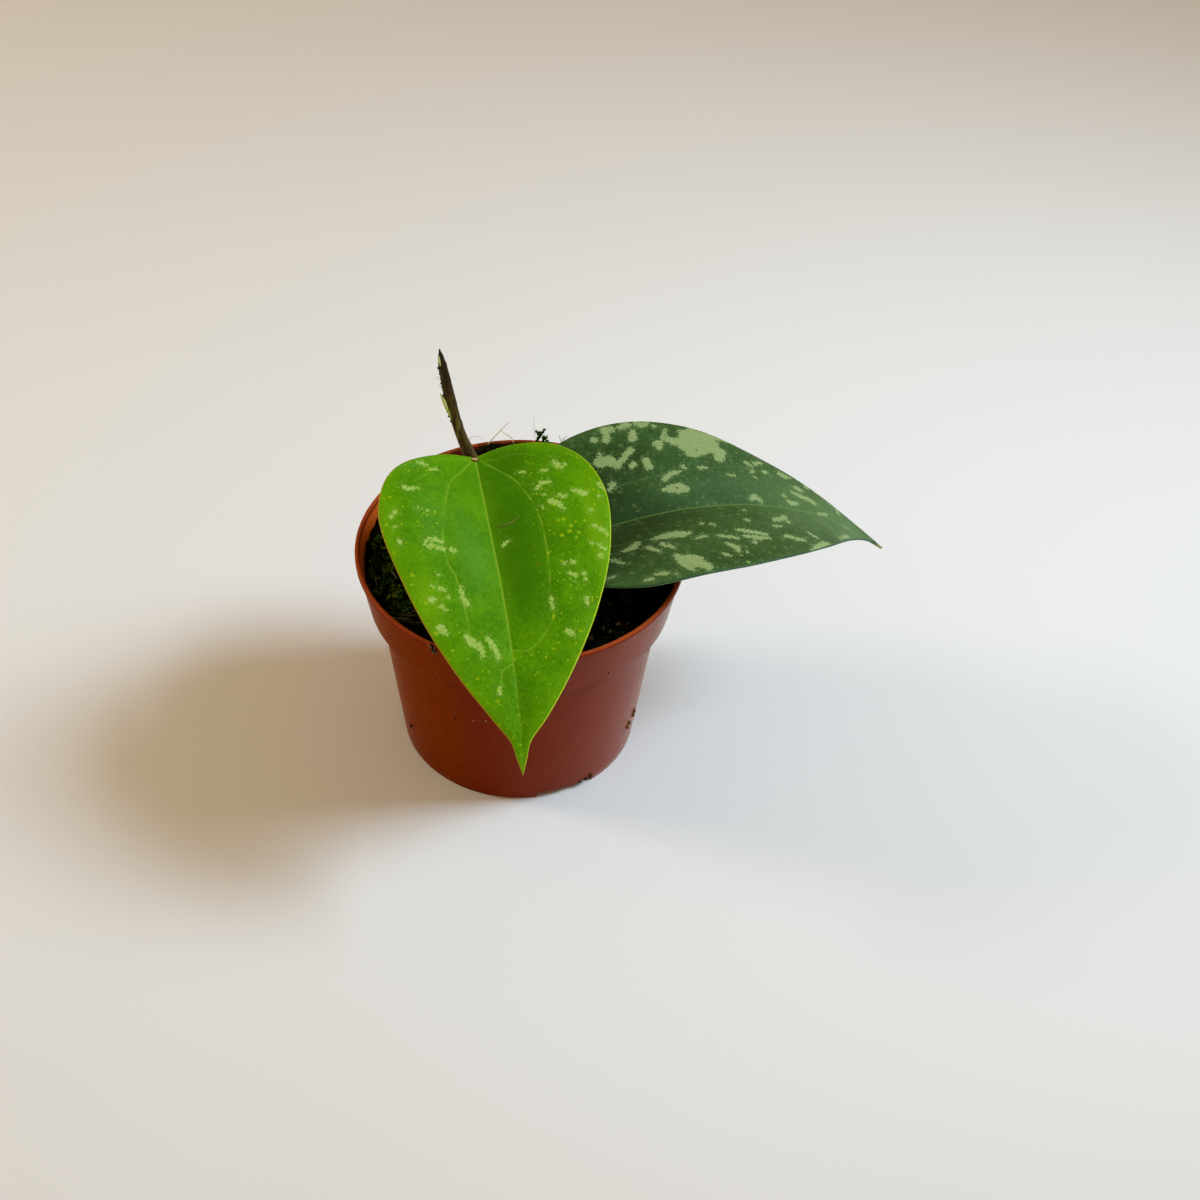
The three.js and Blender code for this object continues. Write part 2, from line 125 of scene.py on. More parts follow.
YOUNG = {
    "midrib": [(-17.5, 15.7, 114.2), (-7.7, -27, 106.5), (3.5, -68, 97), (6.2, -96.6, 70.3)],
    "length": 124,
    "fold": (0.22, 0.06),
    "flatten": 0.002,
    "seed": 3,
    "left": [
        (-0.005, 0), (-0.02, 12), (-0.004, 26), (0.05, 36), (0.13, 41.5), (0.23, 43), (0.38, 39.5),
        (0.54, 31.5), (0.7, 20.5), (0.83, 10), (0.9, 3.4), (0.95, 1.6), (1, 0)],
    "right": [
        (-0.005, 0), (-0.013, 12), (0.01, 25), (0.06, 33), (0.15, 37.7), (0.24, 38), (0.38, 34.4),
        (0.54, 28.4), (0.7, 19.5), (0.83, 9.7), (0.9, 3.9), (0.95, 2), (1, 0)],
    "veins": [
        [(0.5, 0.5), (7, 7), (14, 13), (27, 17.5), (44, 18), (61, 16), (68, 16), (74, 12), (79, 6),
         (78.5, 0.5)],
        [(0.5, -0.5), (6, -6), (11, -11), (23, -15), (32, -17), (43, -17), (50, -15), (66, -13.5)],
        [(83.5, -0.5), (86, -4), (91, -5)]],
    "faint_veins": [
        [(10.5, -10.5), (11, -15.5), (11.5, -21), (13, -27.5)], [(23.5, -15.5), (24, -18.5), (27, -22)],
        [(1, 1), (2.5, 6.5), (2, 15), (5.5, 23), (13, 29)], [(80, 7), (86, 8.5), (91, 8)],
        [(14.5, 13), (17, 20), (24, 27)], [(44.5, 18), (50, 24), (60, 27)],
        [(42.5, -17), (49, -21), (57, -22)], [(1, -1), (0.5, -9), (2.5, -18), (8, -26)],
        [(66, -13.5), (74, -13), (80, -9), (83, -4)]],
    "spots": [(48, 14, 0.4), (23, -37, 0.35), (24, -38, 0.3)],
    # Spots of painted shade and painted highlight.
    "light_and_shade": [
        (26, 9, 24, 10, -0.8), (56, 8, 18, 9, -0.6), (40, 22, 30, 9, -0.25), (100, 2, 14, 4, -0.3),
        (4, 12, 8, 12, -0.45), (8, -6, 10, 5, -0.3), (36, 36, 26, 5, 0.75), (80, 20, 14, 4, 0.25),
        (57, -26, 12, 6, 0.8), (24, -34, 10, 5, 0.4)],
    # Spots of painted sheen.
    "painted_sheen": [(27, -20, 14, 5, 0.6), (42, -8, 13, 5, 0.9), (1, -28, 4, 9, 0.8), (22, -11, 10, 4, 0.3)],
    "patches": [
        (35, -24, 0.4, 33.5, -22, 0.5, 33.5, -20, 0.5, 35, -18, 0.5), (36, -22, 0.6, 35.5, -21, 0.5),
        (37, -20, 0.5, 37.5, -18, 0.9), (35, -24, 0.3, 37.5, -22, 0.3), (38, -15, 0.5, 39, -14, 0.7),
        (12, -28, 0.5, 13, -26, 0.8, 13, -23, 0.3), (24, -34, 0.5, 22, -32, 0.5), (28, -33, 0.5),
        (21, -24, 0.4), (22, -21, 0.5), (33, -33, 0.4, 34, -32, 0.5), (48, -21, 0.4), (52, -24, 0.5),
        (53, -21, 0.6, 54, -20, 0.4), (57, -25, 1, 57, -24, 0.8), (60, -22, 0.6, 61, -21, 0.5),
        (57, -19, 0.4), (53, -14, 0.4, 57, -14, 0.5, 60, -13, 0.8), (2, -21, 0.4, 3, -18, 0.5),
        (5, -17, 0.4, 5, -15, 0.4), (8, 27, 0.7, 10, 28, 1, 11, 29, 0.5), (10, 30, 0.4, 10, 31, 0.4),
        (18, 19, 0.5, 16, 21, 0.6, 16, 24, 0.6), (21, 21, 0.4), (24, 23, 1, 25, 25, 1.1, 27, 26, 0.6),
        (22, 26, 0.4, 23, 28, 0.6), (26, 20, 0.4), (28, 27, 0.4), (21, 31, 0.4, 22, 33, 0.8, 23, 35, 1.1),
        (20, 41, 0.6, 22, 42, 0.5), (25, 40, 0.5), (30, 36, 0.5), (36, 36, 0.5, 37, 37, 0.4),
        (38, 38, 0.5, 40, 40, 0.4), (43, 34, 0.5), (44, 36, 0.4, 46, 38, 0.4), (48, 36, 0.8),
        (49, 23, 0.6), (49, 26, 0.8), (53, 24, 0.4, 54, 26, 0.7), (54, 29, 0.6), (56, 29, 0.5),
        (61, 16, 0.4, 65, 16, 0.5), (63, 28, 0.5, 65, 28, 0.5), (38, 3, 0.4, 37, 5, 0.6),
        (10, 14, 0.3, 10, 16, 0.4), (11, 22, 0.4, 11, 24, 0.3), (68, -24, 0.9, 68, -23, 1.2, 70, -22, 0.9),
        (72, -15, 0.8, 75, -13, 1.5, 76, -11, 1.1, 80, -10, 0.5), (73, -8, 0.5, 77, -6, 0.9, 81, -5, 0.7),
        (74, 20, 0.7, 75, 21, 0.9), (92, -6, 0.4, 94, -6, 0.6)],
    "yellow": [
        (27, -36, 0.6), (16, -33, 0.5), (47, -30, 0.7), (58, -27, 0.7), (38, -35, 0.5), (32, 26, 0.6),
        (32, 24, 0.5), (35, 28, 0.6), (37, 27, 0.7), (38, 24, 0.6), (38, 30, 0.5), (40, 29, 0.5),
        (34, 33, 0.5), (48, 22, 0.5), (68, 16, 0.6), (75, 24, 0.5), (80, 14, 0.4), (70, -25, 0.8),
        (77, -20, 0.5), (88, -13, 0.5), (97, -7, 0.5)],
}
MATURE = {
    "midrib": [(11.5, -5, 91), (58, 9, 108), (101.5, 29.5, 95.5), (136.5, 37, 61)],
    "length": 142,
    "fold": (0.28, 0),
    "flatten": 0.0012,
    "seed": 7,
    "left": [
        (-0.005, 0), (-0.03, 13), (-0.005, 27), (0.05, 37.5), (0.13, 43), (0.25, 46), (0.37, 45),
        (0.5, 39.6), (0.62, 29.5), (0.76, 18), (0.88, 7), (0.95, 2.2), (1, 0)],
    "right": [
        (-0.005, 0), (-0.03, 12), (-0.005, 24), (0.05, 32), (0.12, 39), (0.19, 42), (0.3, 41),
        (0.43, 38.3), (0.58, 31), (0.72, 20.8), (0.85, 8.6), (0.94, 1.6), (1, 0)],
    "veins": [
        [(2, 0.5), (10, 9), (25, 15), (45, 17), (71, 19.5), (80, 20), (92, 18), (104, 12), (116, 4)],
        [(2, -0.5), (9, -8), (20, -13), (30, -14.5), (46, -18.5), (59, -20.5), (75, -21), (89, -20),
         (103, -13)]],
    "faint_veins": [
        [(9, -8), (16, -21.5), (21, -26.5), (30, -30.5), (44, -32)],
        [(2, 0.5), (4, 12), (12, 25), (26, 34)], [(56.5, 18.5), (66, 26), (80, 26)],
        [(80, 20), (92, 18), (104, 12)], [(46.5, -18.5), (58, -27), (72, -28)]],
    "spots": [(50, 10, 0.55), (64.5, 28.5, 0.5), (66.5, 24, 0.4), (88, -26, 0.4)],
    # Spots of painted shade and painted highlight.
    "light_and_shade": [
        (16, 4, 24, 34, -1), (46, -4, 20, 9, -0.4), (96, 4, 22, 22, 0.7), (120, 0, 14, 14, 1),
        (60, -34, 26, 5, -0.4), (40, 28, 12, 8, -0.4)],
    # Spots of painted sheen.
    "painted_sheen": [(60, 8, 22, 8, 0.35), (74, 14, 16, 8, 0.35), (24, 4, 12, 8, 0.2), (86, -10, 14, 6, 0.25)],
    "patches": [
        (33, 43, 1.7, 35, 43, 1.7), (33, 40, 1.3, 32, 38, 1.3), (39, 43, 1, 42, 44, 1.6),
        (46, 44, 1.4, 47, 43, 1.5, 50, 44, 0.8), (52, 42, 0.8), (43, 40, 1, 42, 37, 1.4, 41, 36, 0.9),
        (28, 39, 1.3), (27, 28, 2.4, 30, 28, 2.2, 32, 25, 1.5), (32, 25, 1.3, 36, 28, 1, 39, 31, 1.2),
        (28, 32, 0.5, 27, 30, 0.8), (43, 25, 1.3, 43, 22, 1.6), (38, 24, 1.1, 37, 23, 0.8),
        (49, 32, 0.9, 51, 33, 1.5, 50, 30, 0.9), (53, 35, 0.7, 56, 40, 0.5),
        (55, 35, 1.3, 57, 33, 1.9, 60, 34, 1.7), (63, 38, 2.1, 60, 30, 2.1),
        (66, 37, 3.8, 66, 30, 4.2, 62, 27, 2.6), (70, 36, 3.4, 72, 33, 2.9),
        (72, 37, 1.9, 76, 36, 1.5, 79, 35, 0.9), (70, 30, 2.7, 74, 28, 2.4, 72, 24, 1.7), (56, 20, 0.8),
        (47, 15, 1.1, 50, 17, 1, 54, 18, 0.5), (45, 10, 0.7, 48, 10, 1.7, 51, 10, 2.3, 53, 9, 1.4),
        (28, 17, 1.1, 26, 15, 0.5), (62, 19, 0.5, 65, 19, 0.5), (73, 15, 0.5, 75, 15, 0.5),
        (32, -15, 0.5, 35, -15, 1.2, 39, -15, 1.8, 43, -16, 1.6, 45, -16, 0.8),
        (46, -20, 0.4, 50, -19, 0.7), (21, -18, 0.5, 25, -17, 1.4, 27, -15, 0.7),
        (29, -19, 0.6, 30, -21, 0.9, 32, -23, 0.6), (34, -19, 0.6, 35, -21, 1, 37, -23, 0.5),
        (36, -28, 0.8, 38, -31, 2, 41, -34, 2.6, 44, -37, 1.8, 44, -39, 0.8),
        (37, -32, 1.6, 38, -36, 1.2, 39, -38, 0.5), (40, -30, 1.2, 43, -32, 1.2), (52, -11, 0.5),
        (55, -12, 0.5, 56, -13, 0.4), (55, -20, 0.5, 59, -21, 1, 61, -22, 0.8),
        (56, -25, 0.7, 58, -28, 1.3, 58, -31, 0.6), (52, -31, 0.5, 54, -33, 0.5),
        (16, -21, 0.5, 18, -23, 0.7, 19, -25, 0.4), (27, -36, 0.7, 30, -37, 0.9),
        (23, -38, 0.6, 25, -38, 0.5), (33, -38, 0.6), (12, -31, 0.6, 15, -31, 0.5),
        (83, 23, 0.7, 85, 22, 0.6), (87, 23, 0.8, 90, 24, 0.6), (85, 19, 0.6, 84, 18, 0.6), (90, 19, 0.9),
        (84, 15, 0.6), (97, 20, 0.9, 99, 19, 1.2, 101, 19, 0.6), (102, 14, 0.7, 104, 13, 1),
        (108, 16, 0.8), (99, 10, 0.7, 102, 9, 1, 106, 8, 1.1, 108, 7, 1.1),
        (95, 4, 1, 96, 3, 1, 99, 4, 0.6), (94, 7, 0.8), (78, 3, 0.7, 80, 4, 1.3, 82, 2, 0.5),
        (72, -4, 0.5), (70, -11, 0.9), (82, -10, 1, 85, -9, 0.9, 88, -7, 1.1), (88, -10, 0.9),
        (80, -14, 0.5, 83, -14, 0.5), (63, -17, 0.6, 67, -18, 1, 71, -19, 0.9, 74, -20, 0.6),
        (65, -21, 0.8, 69, -22, 1.3, 74, -22, 0.8), (67, -25, 1),
        (82, -20, 0.5, 84, -20, 0.9, 87, -21, 1.1, 90, -21, 0.7), (95, -15, 0.4, 98, -17, 0.7),
        (91, -27, 0.7, 95, -24, 1.2, 100, -20, 1.1, 103, -19, 0.5), (112, -12, 0.4, 118, -8, 0.6),
        (108, 1, 0.4, 112, 2, 0.6), (121, -1, 0.5), (120, 8, 0.5, 120, 6, 0.5), (61, -31, 0.5)],
    "yellow": [(58, -33, 0.6), (59, -37, 0.7), (62, -28, 0.4), (12, -27, 0.5)],
}

# Stem and stalks, as in the part's source: centre points with the half width and the half depth
STEM = [
    (-9.6, 12.4, 58, 1.6, 1.6), (-10.4, 13, 72, 2.2, 2.2), (-11.2, 13.6, 84, 2.8, 2.7),
    (-13, 15, 92, 2.2, 2.1), (-15.6, 17.2, 101, 2.2, 2.1), (-18.2, 19.4, 108.5, 2.8, 2.5),
    (-20.3, 20.2, 114, 2.3, 1.9), (-23.6, 20.8, 123.7, 1.9, 1.4), (-26.8, 21.8, 137.3, 2.1, 1.2),
    (-29.1, 22.8, 150, 1.7, 1), (-30.2, 23.3, 157.4, 0.3, 0.3)]
YOUNG_STALK = [(-17.7, 19.6, 104.5, 1.5, 1.5), (-17.6, 18.4, 108.8, 2, 2)]
MATURE_STALK = [
    (-12.6, 14.2, 84, 1.5, 1.5), (-6, 10.2, 84.2, 2, 2), (1.5, 3.6, 84.6, 1.9, 1.9),
    (7.2, -2.4, 86.4, 1.9, 1.9)]
STEM_VOXEL = 0.32
STALK_END = [(0, 1.8), (0.02, 1.5), (0.05, 0.7)]
STALK_GAP = 0.5
DRY_FROM, DRY_FULL = 132, 146
TORN_STRIP = [(-25.6, 21.2, 127, 0.7, 0.7), (-28, 21, 134.4, 0.6, 0.5), (-29.9, 20.8, 139.6, 0.3, 0.3)]
SCAR = (-17.5, 15, 114.8)
SCRATCH, SCRATCH_LIFT = [(30, 2), (30, 5), (29.5, 8), (27.5, 11)], 0.62
TISSUE = [
    [(-26.2, 19.9, 129.4, 0.12, 0.1), (-27.3, 19.9, 132, 0.45, 0.3), (-28.7, 20.1, 136.4, 0.62, 0.25),
     (-29.9, 20.4, 139.8, 0.15, 0.1)],
    [(-29.8, 21.9, 150.8, 0.15, 0.1), (-30.1, 22, 152.4, 0.3, 0.2), (-30.3, 22.4, 154.6, 0.12, 0.1)]]
BARK_BITS = [
    (-30.6, 22.3, 149.4, 0.6), (-30.3, 22.2, 147, 0.35), (-30.1, 22.1, 145, 0.3), (-29.8, 22, 143, 0.35),
    (-29.5, 21.8, 141.2, 0.3), (-27, 20.6, 129.6, 0.5), (-26.2, 20.4, 127.4, 0.4), (-30.5, 22.3, 151.6, 0.3)]

# Loose bits. A fibre is its points, its radius and its shade. A speck on the wall is its
# direction, height, size and shade, and one on the soil its place, size and shade.
FIBRES = [
    ([(-16.4, 55.5, 86.4), (-15.2, 56, 89), (-11, 56, 95.1), (-7.6, 56, 99.6)], 0.17, 0.9),
    ([(-11.2, 56.2, 95.3), (-8.8, 56.2, 93.6), (-6.4, 56, 91.5), (-5.6, 55.6, 87)], 0.17, 0.9),
    ([(2.4, 55.8, 86.6), (2.3, 56, 91.5), (1.8, 56, 99), (1.8, 56, 105.9)], 0.07, 0.8),
    ([(12.4, 55.2, 86.4), (12.2, 56, 90.5), (11.4, 56, 94.4)], 0.16, 0.7),
    ([(12.3, 55.4, 86.8), (12.9, 56, 92), (14.4, 56, 94.1)], 0.16, 0.75),
    ([(-24.5, 53, 86.4), (-23, 55, 90.5), (-20, 56, 92.2), (-17, 56, 90.4)], 0.08, 0.7),
    ([(-29.9, 22, 146.6), (-31, 22, 145.8), (-31.8, 22, 144.6)], 0.06, 0.1),
    ([(-29, 21.8, 141), (-30, 22, 141.8), (-30.8, 22, 142.8)], 0.06, 0.1),
    ([(-46, -12, 83.2), (-44.8, -13.6, 83.4), (-43.5, -15.6, 82.8)], 0.28, 0.55),
    ([(-49.5, -9, 82.6), (-48.7, -11.7, 83), (-48.4, -14.5, 82.6)], 0.14, 0.4),
    ([(-51.5, -15, 82.4), (-51, -17, 82.8), (-50.2, -20, 82.2)], 0.14, 0.5)]
SPRIGS = [
    [(2.4, 55.6, 86.2), (2.7, 56, 90), (4.6, 56, 94.5), (6, 56, 96.5)],
    [(4.2, 56, 93.6), (3.6, 56, 94.4), (3, 56, 94.9)],
    [(5, 55.6, 86.4), (5.4, 56, 91.1), (6.5, 56, 93.2)],
    [(6.8, 55.6, 86.4), (7.2, 56, 89.4), (6.6, 56, 91.6)]]
MOSS_TUFTS, REAR_TUFTS = 300, 70
MOSS_WIDTH, MOSS_DEPTH, MOSS_REACH = (-54, -36), (-30, 14), 54.6
REAR_MOSS_TURNS, REAR_MOSS_REACHES, REAR_MOSS_HEIGHT = (62, 112), (54.5, 56.6), 86
LYING_FIBRES, LYING_FROM, LYING_STEP = 9, (-44, -29), 0.75
SOIL_FIBRES, SOIL_FIBRE_REACH = 90, 50
DUST_GRAINS, DUST_TURNS, DUST_HEIGHTS, DUST_SHADES = 60, (-175, -5), (1, 84), (0.1, 0.6, 0.9, 0.95)
MOSS_SEED, SPRIG_SEED, FIBRE_SEED, SPECK_SEED = 23, 5, 31, 41
MOSS_TIPS = [(-43.7, -22.5), (-44.5, -21), (-45.6, -23.4), (-50.5, 3), (-47, -6)]
WALL_SPECKS = [
    (-53.4, 69.8, 0.4, 0.1), (-148.5, 16, 1.2, 0.05), (-149.5, 15, 0.7, 0.1), (-115, 42.7, 0.5, 0.1),
    (-106.4, 44.8, 0.35, 0.95), (-101.1, 46.2, 0.35, 0.95), (-122.6, 3, 0.5, 0.65), (-18.4, 19.5, 1.2, 0.58),
    (-19.5, 18, 0.9, 0.56), (-23.4, 16.6, 1.2, 0.56), (-24.4, 15, 1.1, 0.58), (-31.7, 11.8, 0.25, 0.1),
    (-45.1, 84.9, 0.6, 0.9), (-17.8, 52.5, 0.4, 0.65), (-50.2, 3.8, 1.2, 0.26), (-53, 3.2, 1.1, 0.24),
    (-56, 2.6, 0.9, 0.22), (-141, 74, 0.3, 0.1), (-149, 79, 0.25, 0.9), (-130, 71, 0.25, 0.1)]
SOIL_BITS = [
    (43.8, -11.7, 0.9, 0.25), (40, -19.8, 0.8, 0.45), (33.2, -22.4, 0.7, 0.4), (33.3, -36.8, 0.7, 0.45),
    (31.1, -34.9, 0.8, 0.4), (39.5, -31.3, 0.6, 0.4), (26.6, -39.7, 0.8, 0.3), (-54, -16, 0.7, 0.55),
    (-53.6, -18.5, 0.6, 0.55), (-52.6, -21, 0.5, 0.5), (-53.8, -12, 0.5, 0.4)]
LIP_TWIST = [
    ([(-28.4, -53, 88), (-27.6, -53.9, 87.4), (-27.4, -54.4, 86), (-26.4, -54.2, 84.6)], 0.5, 0.05),
    ([(-27.8, -53.6, 87.6), (-26.6, -54.5, 85.6), (-27.6, -53.9, 84)], 0.4, 0.15),
    ([(-29.6, -53, 87.9), (-28, -54, 86.6), (-26, -54.8, 84.4)], 0.12, 0.95),
    ([(-26.8, -54.2, 88), (-27, -54.6, 86.2), (-27.8, -54.2, 83.8)], 0.1, 0.95)]


# Mesh helpers

def smoothstep(value, low, high):
    share = np.clip((np.asarray(value, float) - low) / (high - low), 0, 1)
    return share * share * (3 - 2 * share)


def catmull_rom(points, share):
    """Points of a uniform Catmull-Rom curve, for an array of shares from 0 to 1."""
    points = np.asarray(points, float)
    place = np.asarray(share, float) * (len(points) - 1)
    low = np.minimum(place.astype(int), len(points) - 2)
    part = (place - low)[..., None]
    ends = np.vstack([2 * points[0] - points[1], points, 2 * points[-1] - points[-2]])
    a, b, c, d = ends[low], ends[low + 1], ends[low + 2], ends[low + 3]
    curve = 2 * b + (c - a) * part + (2 * a - 5 * b + 4 * c - d) * part**2
    return 0.5 * (curve + (3 * b - a - 3 * c + d) * part**3)


def full_turn(count):
    """Equal angles around a circle."""
    return np.linspace(0, 2 * math.pi, count, endpoint=False)


def polar(reach, turn):
    return reach * math.cos(turn), reach * math.sin(turn)


def normalised(vectors):
    return vectors / np.linalg.norm(vectors, axis=-1, keepdims=True)


def make_mesh(name, vertices, faces, material, smooth=True):
    """A new object from vertices in millimetres."""
    mesh = bpy.data.meshes.new(name)
    mesh.from_pydata((np.asarray(vertices, float) * MM).tolist(), [], faces)
    mesh.validate()
    mesh.materials.append(material)
    piece = bpy.data.objects.new(name, mesh)
    bpy.context.scene.collection.objects.link(piece)
    if smooth:
        mesh.shade_smooth()
    return piece


def weld(vertices, faces, step=1e-4):
    """Joins vertices that lie together. Returns them, the tidied faces and the kept ids."""
    keys = np.round(np.asarray(vertices) / step).astype(np.int64)
    _, first, inverse = np.unique(keys, axis=0, return_index=True, return_inverse=True)
    inverse = inverse.ravel()
    tidy = []
    for face in faces:
        ids = [int(inverse[i]) for i in face]
        ids = [v for k, v in enumerate(ids) if v != ids[k - 1]]
        if len(ids) > 2 and len(set(ids)) == len(ids):
            tidy.append(ids)
    return np.asarray(vertices)[first], tidy, first


def grid_faces(rows, columns, start=0, flip=False, closed=False):
    """Quads of a grid of vertices stored row by row."""
    faces = []
    for row in range(rows - 1):
        for column in range(columns if closed else columns - 1):
            a = start + row * columns + column
            b = start + row * columns + (column + 1) % columns
            quad = (a, b, b + columns, a + columns)
            faces.append(quad[::-1] if flip else quad)
    return faces


def skin_faces(rows, sides):
    """Faces between rings of vertices, with a fan to each of the two end points stored after them."""
    faces = grid_faces(rows, sides, closed=True)
    first, last = rows * sides, (rows - 1) * sides
    for k in range(sides):
        following = (k + 1) % sides
        faces.append((first, following, k))
        faces.append((first + 1, last + k, last + following))
    return faces


def lathe(name, profile, sides, material):
    """A closed profile of (radius, height) turned about the Z axis."""
    profile = np.asarray(profile, float)
    angles = full_turn(sides)
    radius, height = profile[:, 0][:, None], profile[:, 1][:, None]
    points = np.stack([radius * np.cos(angles), radius * np.sin(angles), height + 0 * angles], -1)
    vertices, faces, _ = weld(points.reshape(-1, 3), grid_faces(len(profile), sides, closed=True))
    return make_mesh(name, vertices, faces, material)


def tube(points, across, sides=20, rings=12):
    """Vertices and faces of a closed tube along a smooth curve: x, y, z, half width, half depth."""
    points = np.asarray(points, float)
    count = (len(points) - 1) * rings + 1
    share = np.linspace(0, 1, count)
    centre = catmull_rom(points[:, :3], share)
    heading = normalised(np.gradient(centre, axis=0))
    side = normalised(np.cross(np.asarray(across, float), heading))
    depth = np.cross(heading, side)
    index = np.arange(len(points)) / (len(points) - 1)
    width = np.interp(share, index, points[:, 3])
    thick = np.interp(share, index, points[:, 4])
    angle = full_turn(sides)
    ring = (centre[:, None] + side[:, None] * (width[:, None] * np.cos(angle))[..., None]
            + depth[:, None] * (thick[:, None] * np.sin(angle))[..., None])
    return np.vstack([ring.reshape(-1, 3), centre[:1], centre[-1:]]), skin_faces(count, sides)


def join(parts):
    """One list of vertices and faces from several."""
    vertices, faces, start = [], [], 0
    for part_vertices, part_faces in parts:
        vertices.append(np.asarray(part_vertices, float))
        faces.extend([[i + start for i in face] for face in part_faces])
        start += len(part_vertices)
    return np.vstack(vertices), faces


class Bits:
    """Many small parts of one piece, with a shade from 0 to 1 for each."""

    def __init__(self):
        self.parts, self.shades = [], []

    def add(self, part, shade):
        self.parts.append(part)
        self.shades.append(shade)

    def piece(self, name, material, smooth=True):
        piece = make_mesh(name, *join(self.parts), material, smooth)
        store(piece, "shade", [s for s, part in zip(self.shades, self.parts) for _ in part[0]])
        return piece


def applied(piece, kind, **settings):
    """Adds a modifier to a piece and applies it."""
    modifier = piece.modifiers.new(kind.lower(), kind)
    for key, value in settings.items():
        setattr(modifier, key, value)
    graph = bpy.context.evaluated_depsgraph_get()
    mesh = bpy.data.meshes.new_from_object(piece.evaluated_get(graph))
    mesh.name = piece.name
    piece.modifiers.clear()
    old = piece.data
    piece.data = mesh
    bpy.data.meshes.remove(old)


def store(piece, name, values, kind="FLOAT"):
    attribute = piece.data.attributes.new(name, kind, "POINT")
    key = "value" if kind == "FLOAT" else "vector"
    attribute.data.foreach_set(key, np.asarray(values, np.float32).ravel())


def place(piece, slot, *nodes):
    """The piece rides on the part's only body, and may stand for CAD nodes."""
    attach(piece, "root")
    if nodes:
        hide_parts(*nodes)
    return piece


# Materials

def srgb(red, green, blue):
    """A colour given as 0 to 255 values of a picture, as linear light."""
    shares = [c / 255 for c in (red, green, blue)]
    return [c / 12.92 if c < 0.04045 else ((c + 0.055) / 1.055) ** 2.4 for c in shares] + [1]


class Material:
    """A Principled material and short ways to wire nodes into it. Its space is that of the object
    in metres, or a position stored on the mesh."""

    def __init__(self, name, roughness, space=None, **settings):
        self.data = bpy.data.materials.new(name)
        self.data.use_nodes = True
        self.tree = self.data.node_tree
        self.shader = self.tree.nodes["Principled BSDF"]
        self.tone = srgb(255, 255, 255)
        self.palette = {}
        self.drive("Roughness", roughness)
        for key, value in settings.items():
            self.drive(key.replace("_", " "), value)
        if space:
            self.space = self.stored(space, "Vector")
        else:
            self.space = self.node("ShaderNodeTexCoord").outputs["Object"]

    def node(self, kind, values=(), **settings):
        made = self.tree.nodes.new(kind)
        for key, value in settings.items():
            setattr(made, key, value)
        for key, value in dict(values).items():
            self.feed(made.inputs[key], value)
        return made

    def feed(self, socket, value):
        if isinstance(value, bpy.types.NodeSocket):
            self.tree.links.new(value, socket)
        else:
            socket.default_value = value

    def stored(self, name, output="Fac"):
        return self.node("ShaderNodeAttribute", attribute_name=name).outputs[output]

    def noise(self, scale, detail=3.0, roughness=0.6, stretch=None):
        """Cloudy noise. Stretch scales the three axes apart, so it makes streaks."""
        vector = self.space
        if stretch:
            vector = self.node("ShaderNodeMapping", {"Vector": vector, "Scale": stretch}).outputs[0]
        made = self.node("ShaderNodeTexNoise", {
            "Vector": vector, "Scale": scale, "Detail": detail, "Roughness": roughness})
        return made.outputs["Fac"]

    def cells(self, scale):
        made = self.node("ShaderNodeTexVoronoi", {"Vector": self.space, "Scale": scale})
        return made.outputs["Distance"]

    def math(self, operation, first, second=0.0, third=0.0):
        made = self.node("ShaderNodeMath", {0: first, 1: second, 2: third}, operation=operation)
        return made.outputs[0]

    def times(self, first, second):
        return self.math("MULTIPLY", first, second)

    def line(self, value, slope, start):
        return self.math("MULTIPLY_ADD", value, slope, start)

    def step(self, value, low, high):
        """0 below low and 1 above high, or the other way round where low is the larger."""
        up = low < high
        made = self.node("ShaderNodeMapRange", {
            "Value": value, "From Min": low if up else high, "From Max": high if up else low,
            "To Min": 0.0 if up else 1.0, "To Max": 1.0 if up else 0.0}, interpolation_type="SMOOTHSTEP")
        return made.outputs["Result"]

    def mix(self, amount, first, second):
        made = self.node("ShaderNodeMix", data_type="RGBA")
        self.feed(made.inputs[0], amount)
        self.feed(made.inputs[6], first)
        self.feed(made.inputs[7], second)
        return made.outputs[2]

    def paint(self, amount, share, over):
        """Lays a colour over what is there, by an amount from 0 to 1, times a share. The colour is
        given as values of a picture or by its name in the palette."""
        if share != 1:
            amount = self.times(amount, share)
        if isinstance(over, str):
            over = self.palette[over]
        self.tone = self.mix(amount, self.tone, srgb(*over))

    def drive(self, name, value):
        self.feed(self.shader.inputs[name], value)

    def done(self):
        self.drive("Base Color", self.tone)
        return self.data

    def bump(self, height, depth):
        """Height is a socket, depth is what one unit of it stands for in millimetres."""
        made = self.node("ShaderNodeBump", {"Height": height, "Distance": depth * MM})
        old = self.shader.inputs["Normal"]
        if old.is_linked:
            self.tree.links.new(old.links[0].from_socket, made.inputs["Normal"])
        self.tree.links.new(made.outputs[0], old)


# Pot

def body_radius(height):
    """The outside of the body below the collar."""
    return FOOT_RADIUS + (BODY_TOP_RADIUS - FOOT_RADIUS) * height / COLLAR_FOOT


def collar_radius(height):
    """The outside of the collar."""
    share = (height - COLLAR_FOOT) / (LIP_FOOT - COLLAR_FOOT)
    return COLLAR_FOOT_RADIUS + (COLLAR_TOP_RADIUS - COLLAR_FOOT_RADIUS) * share


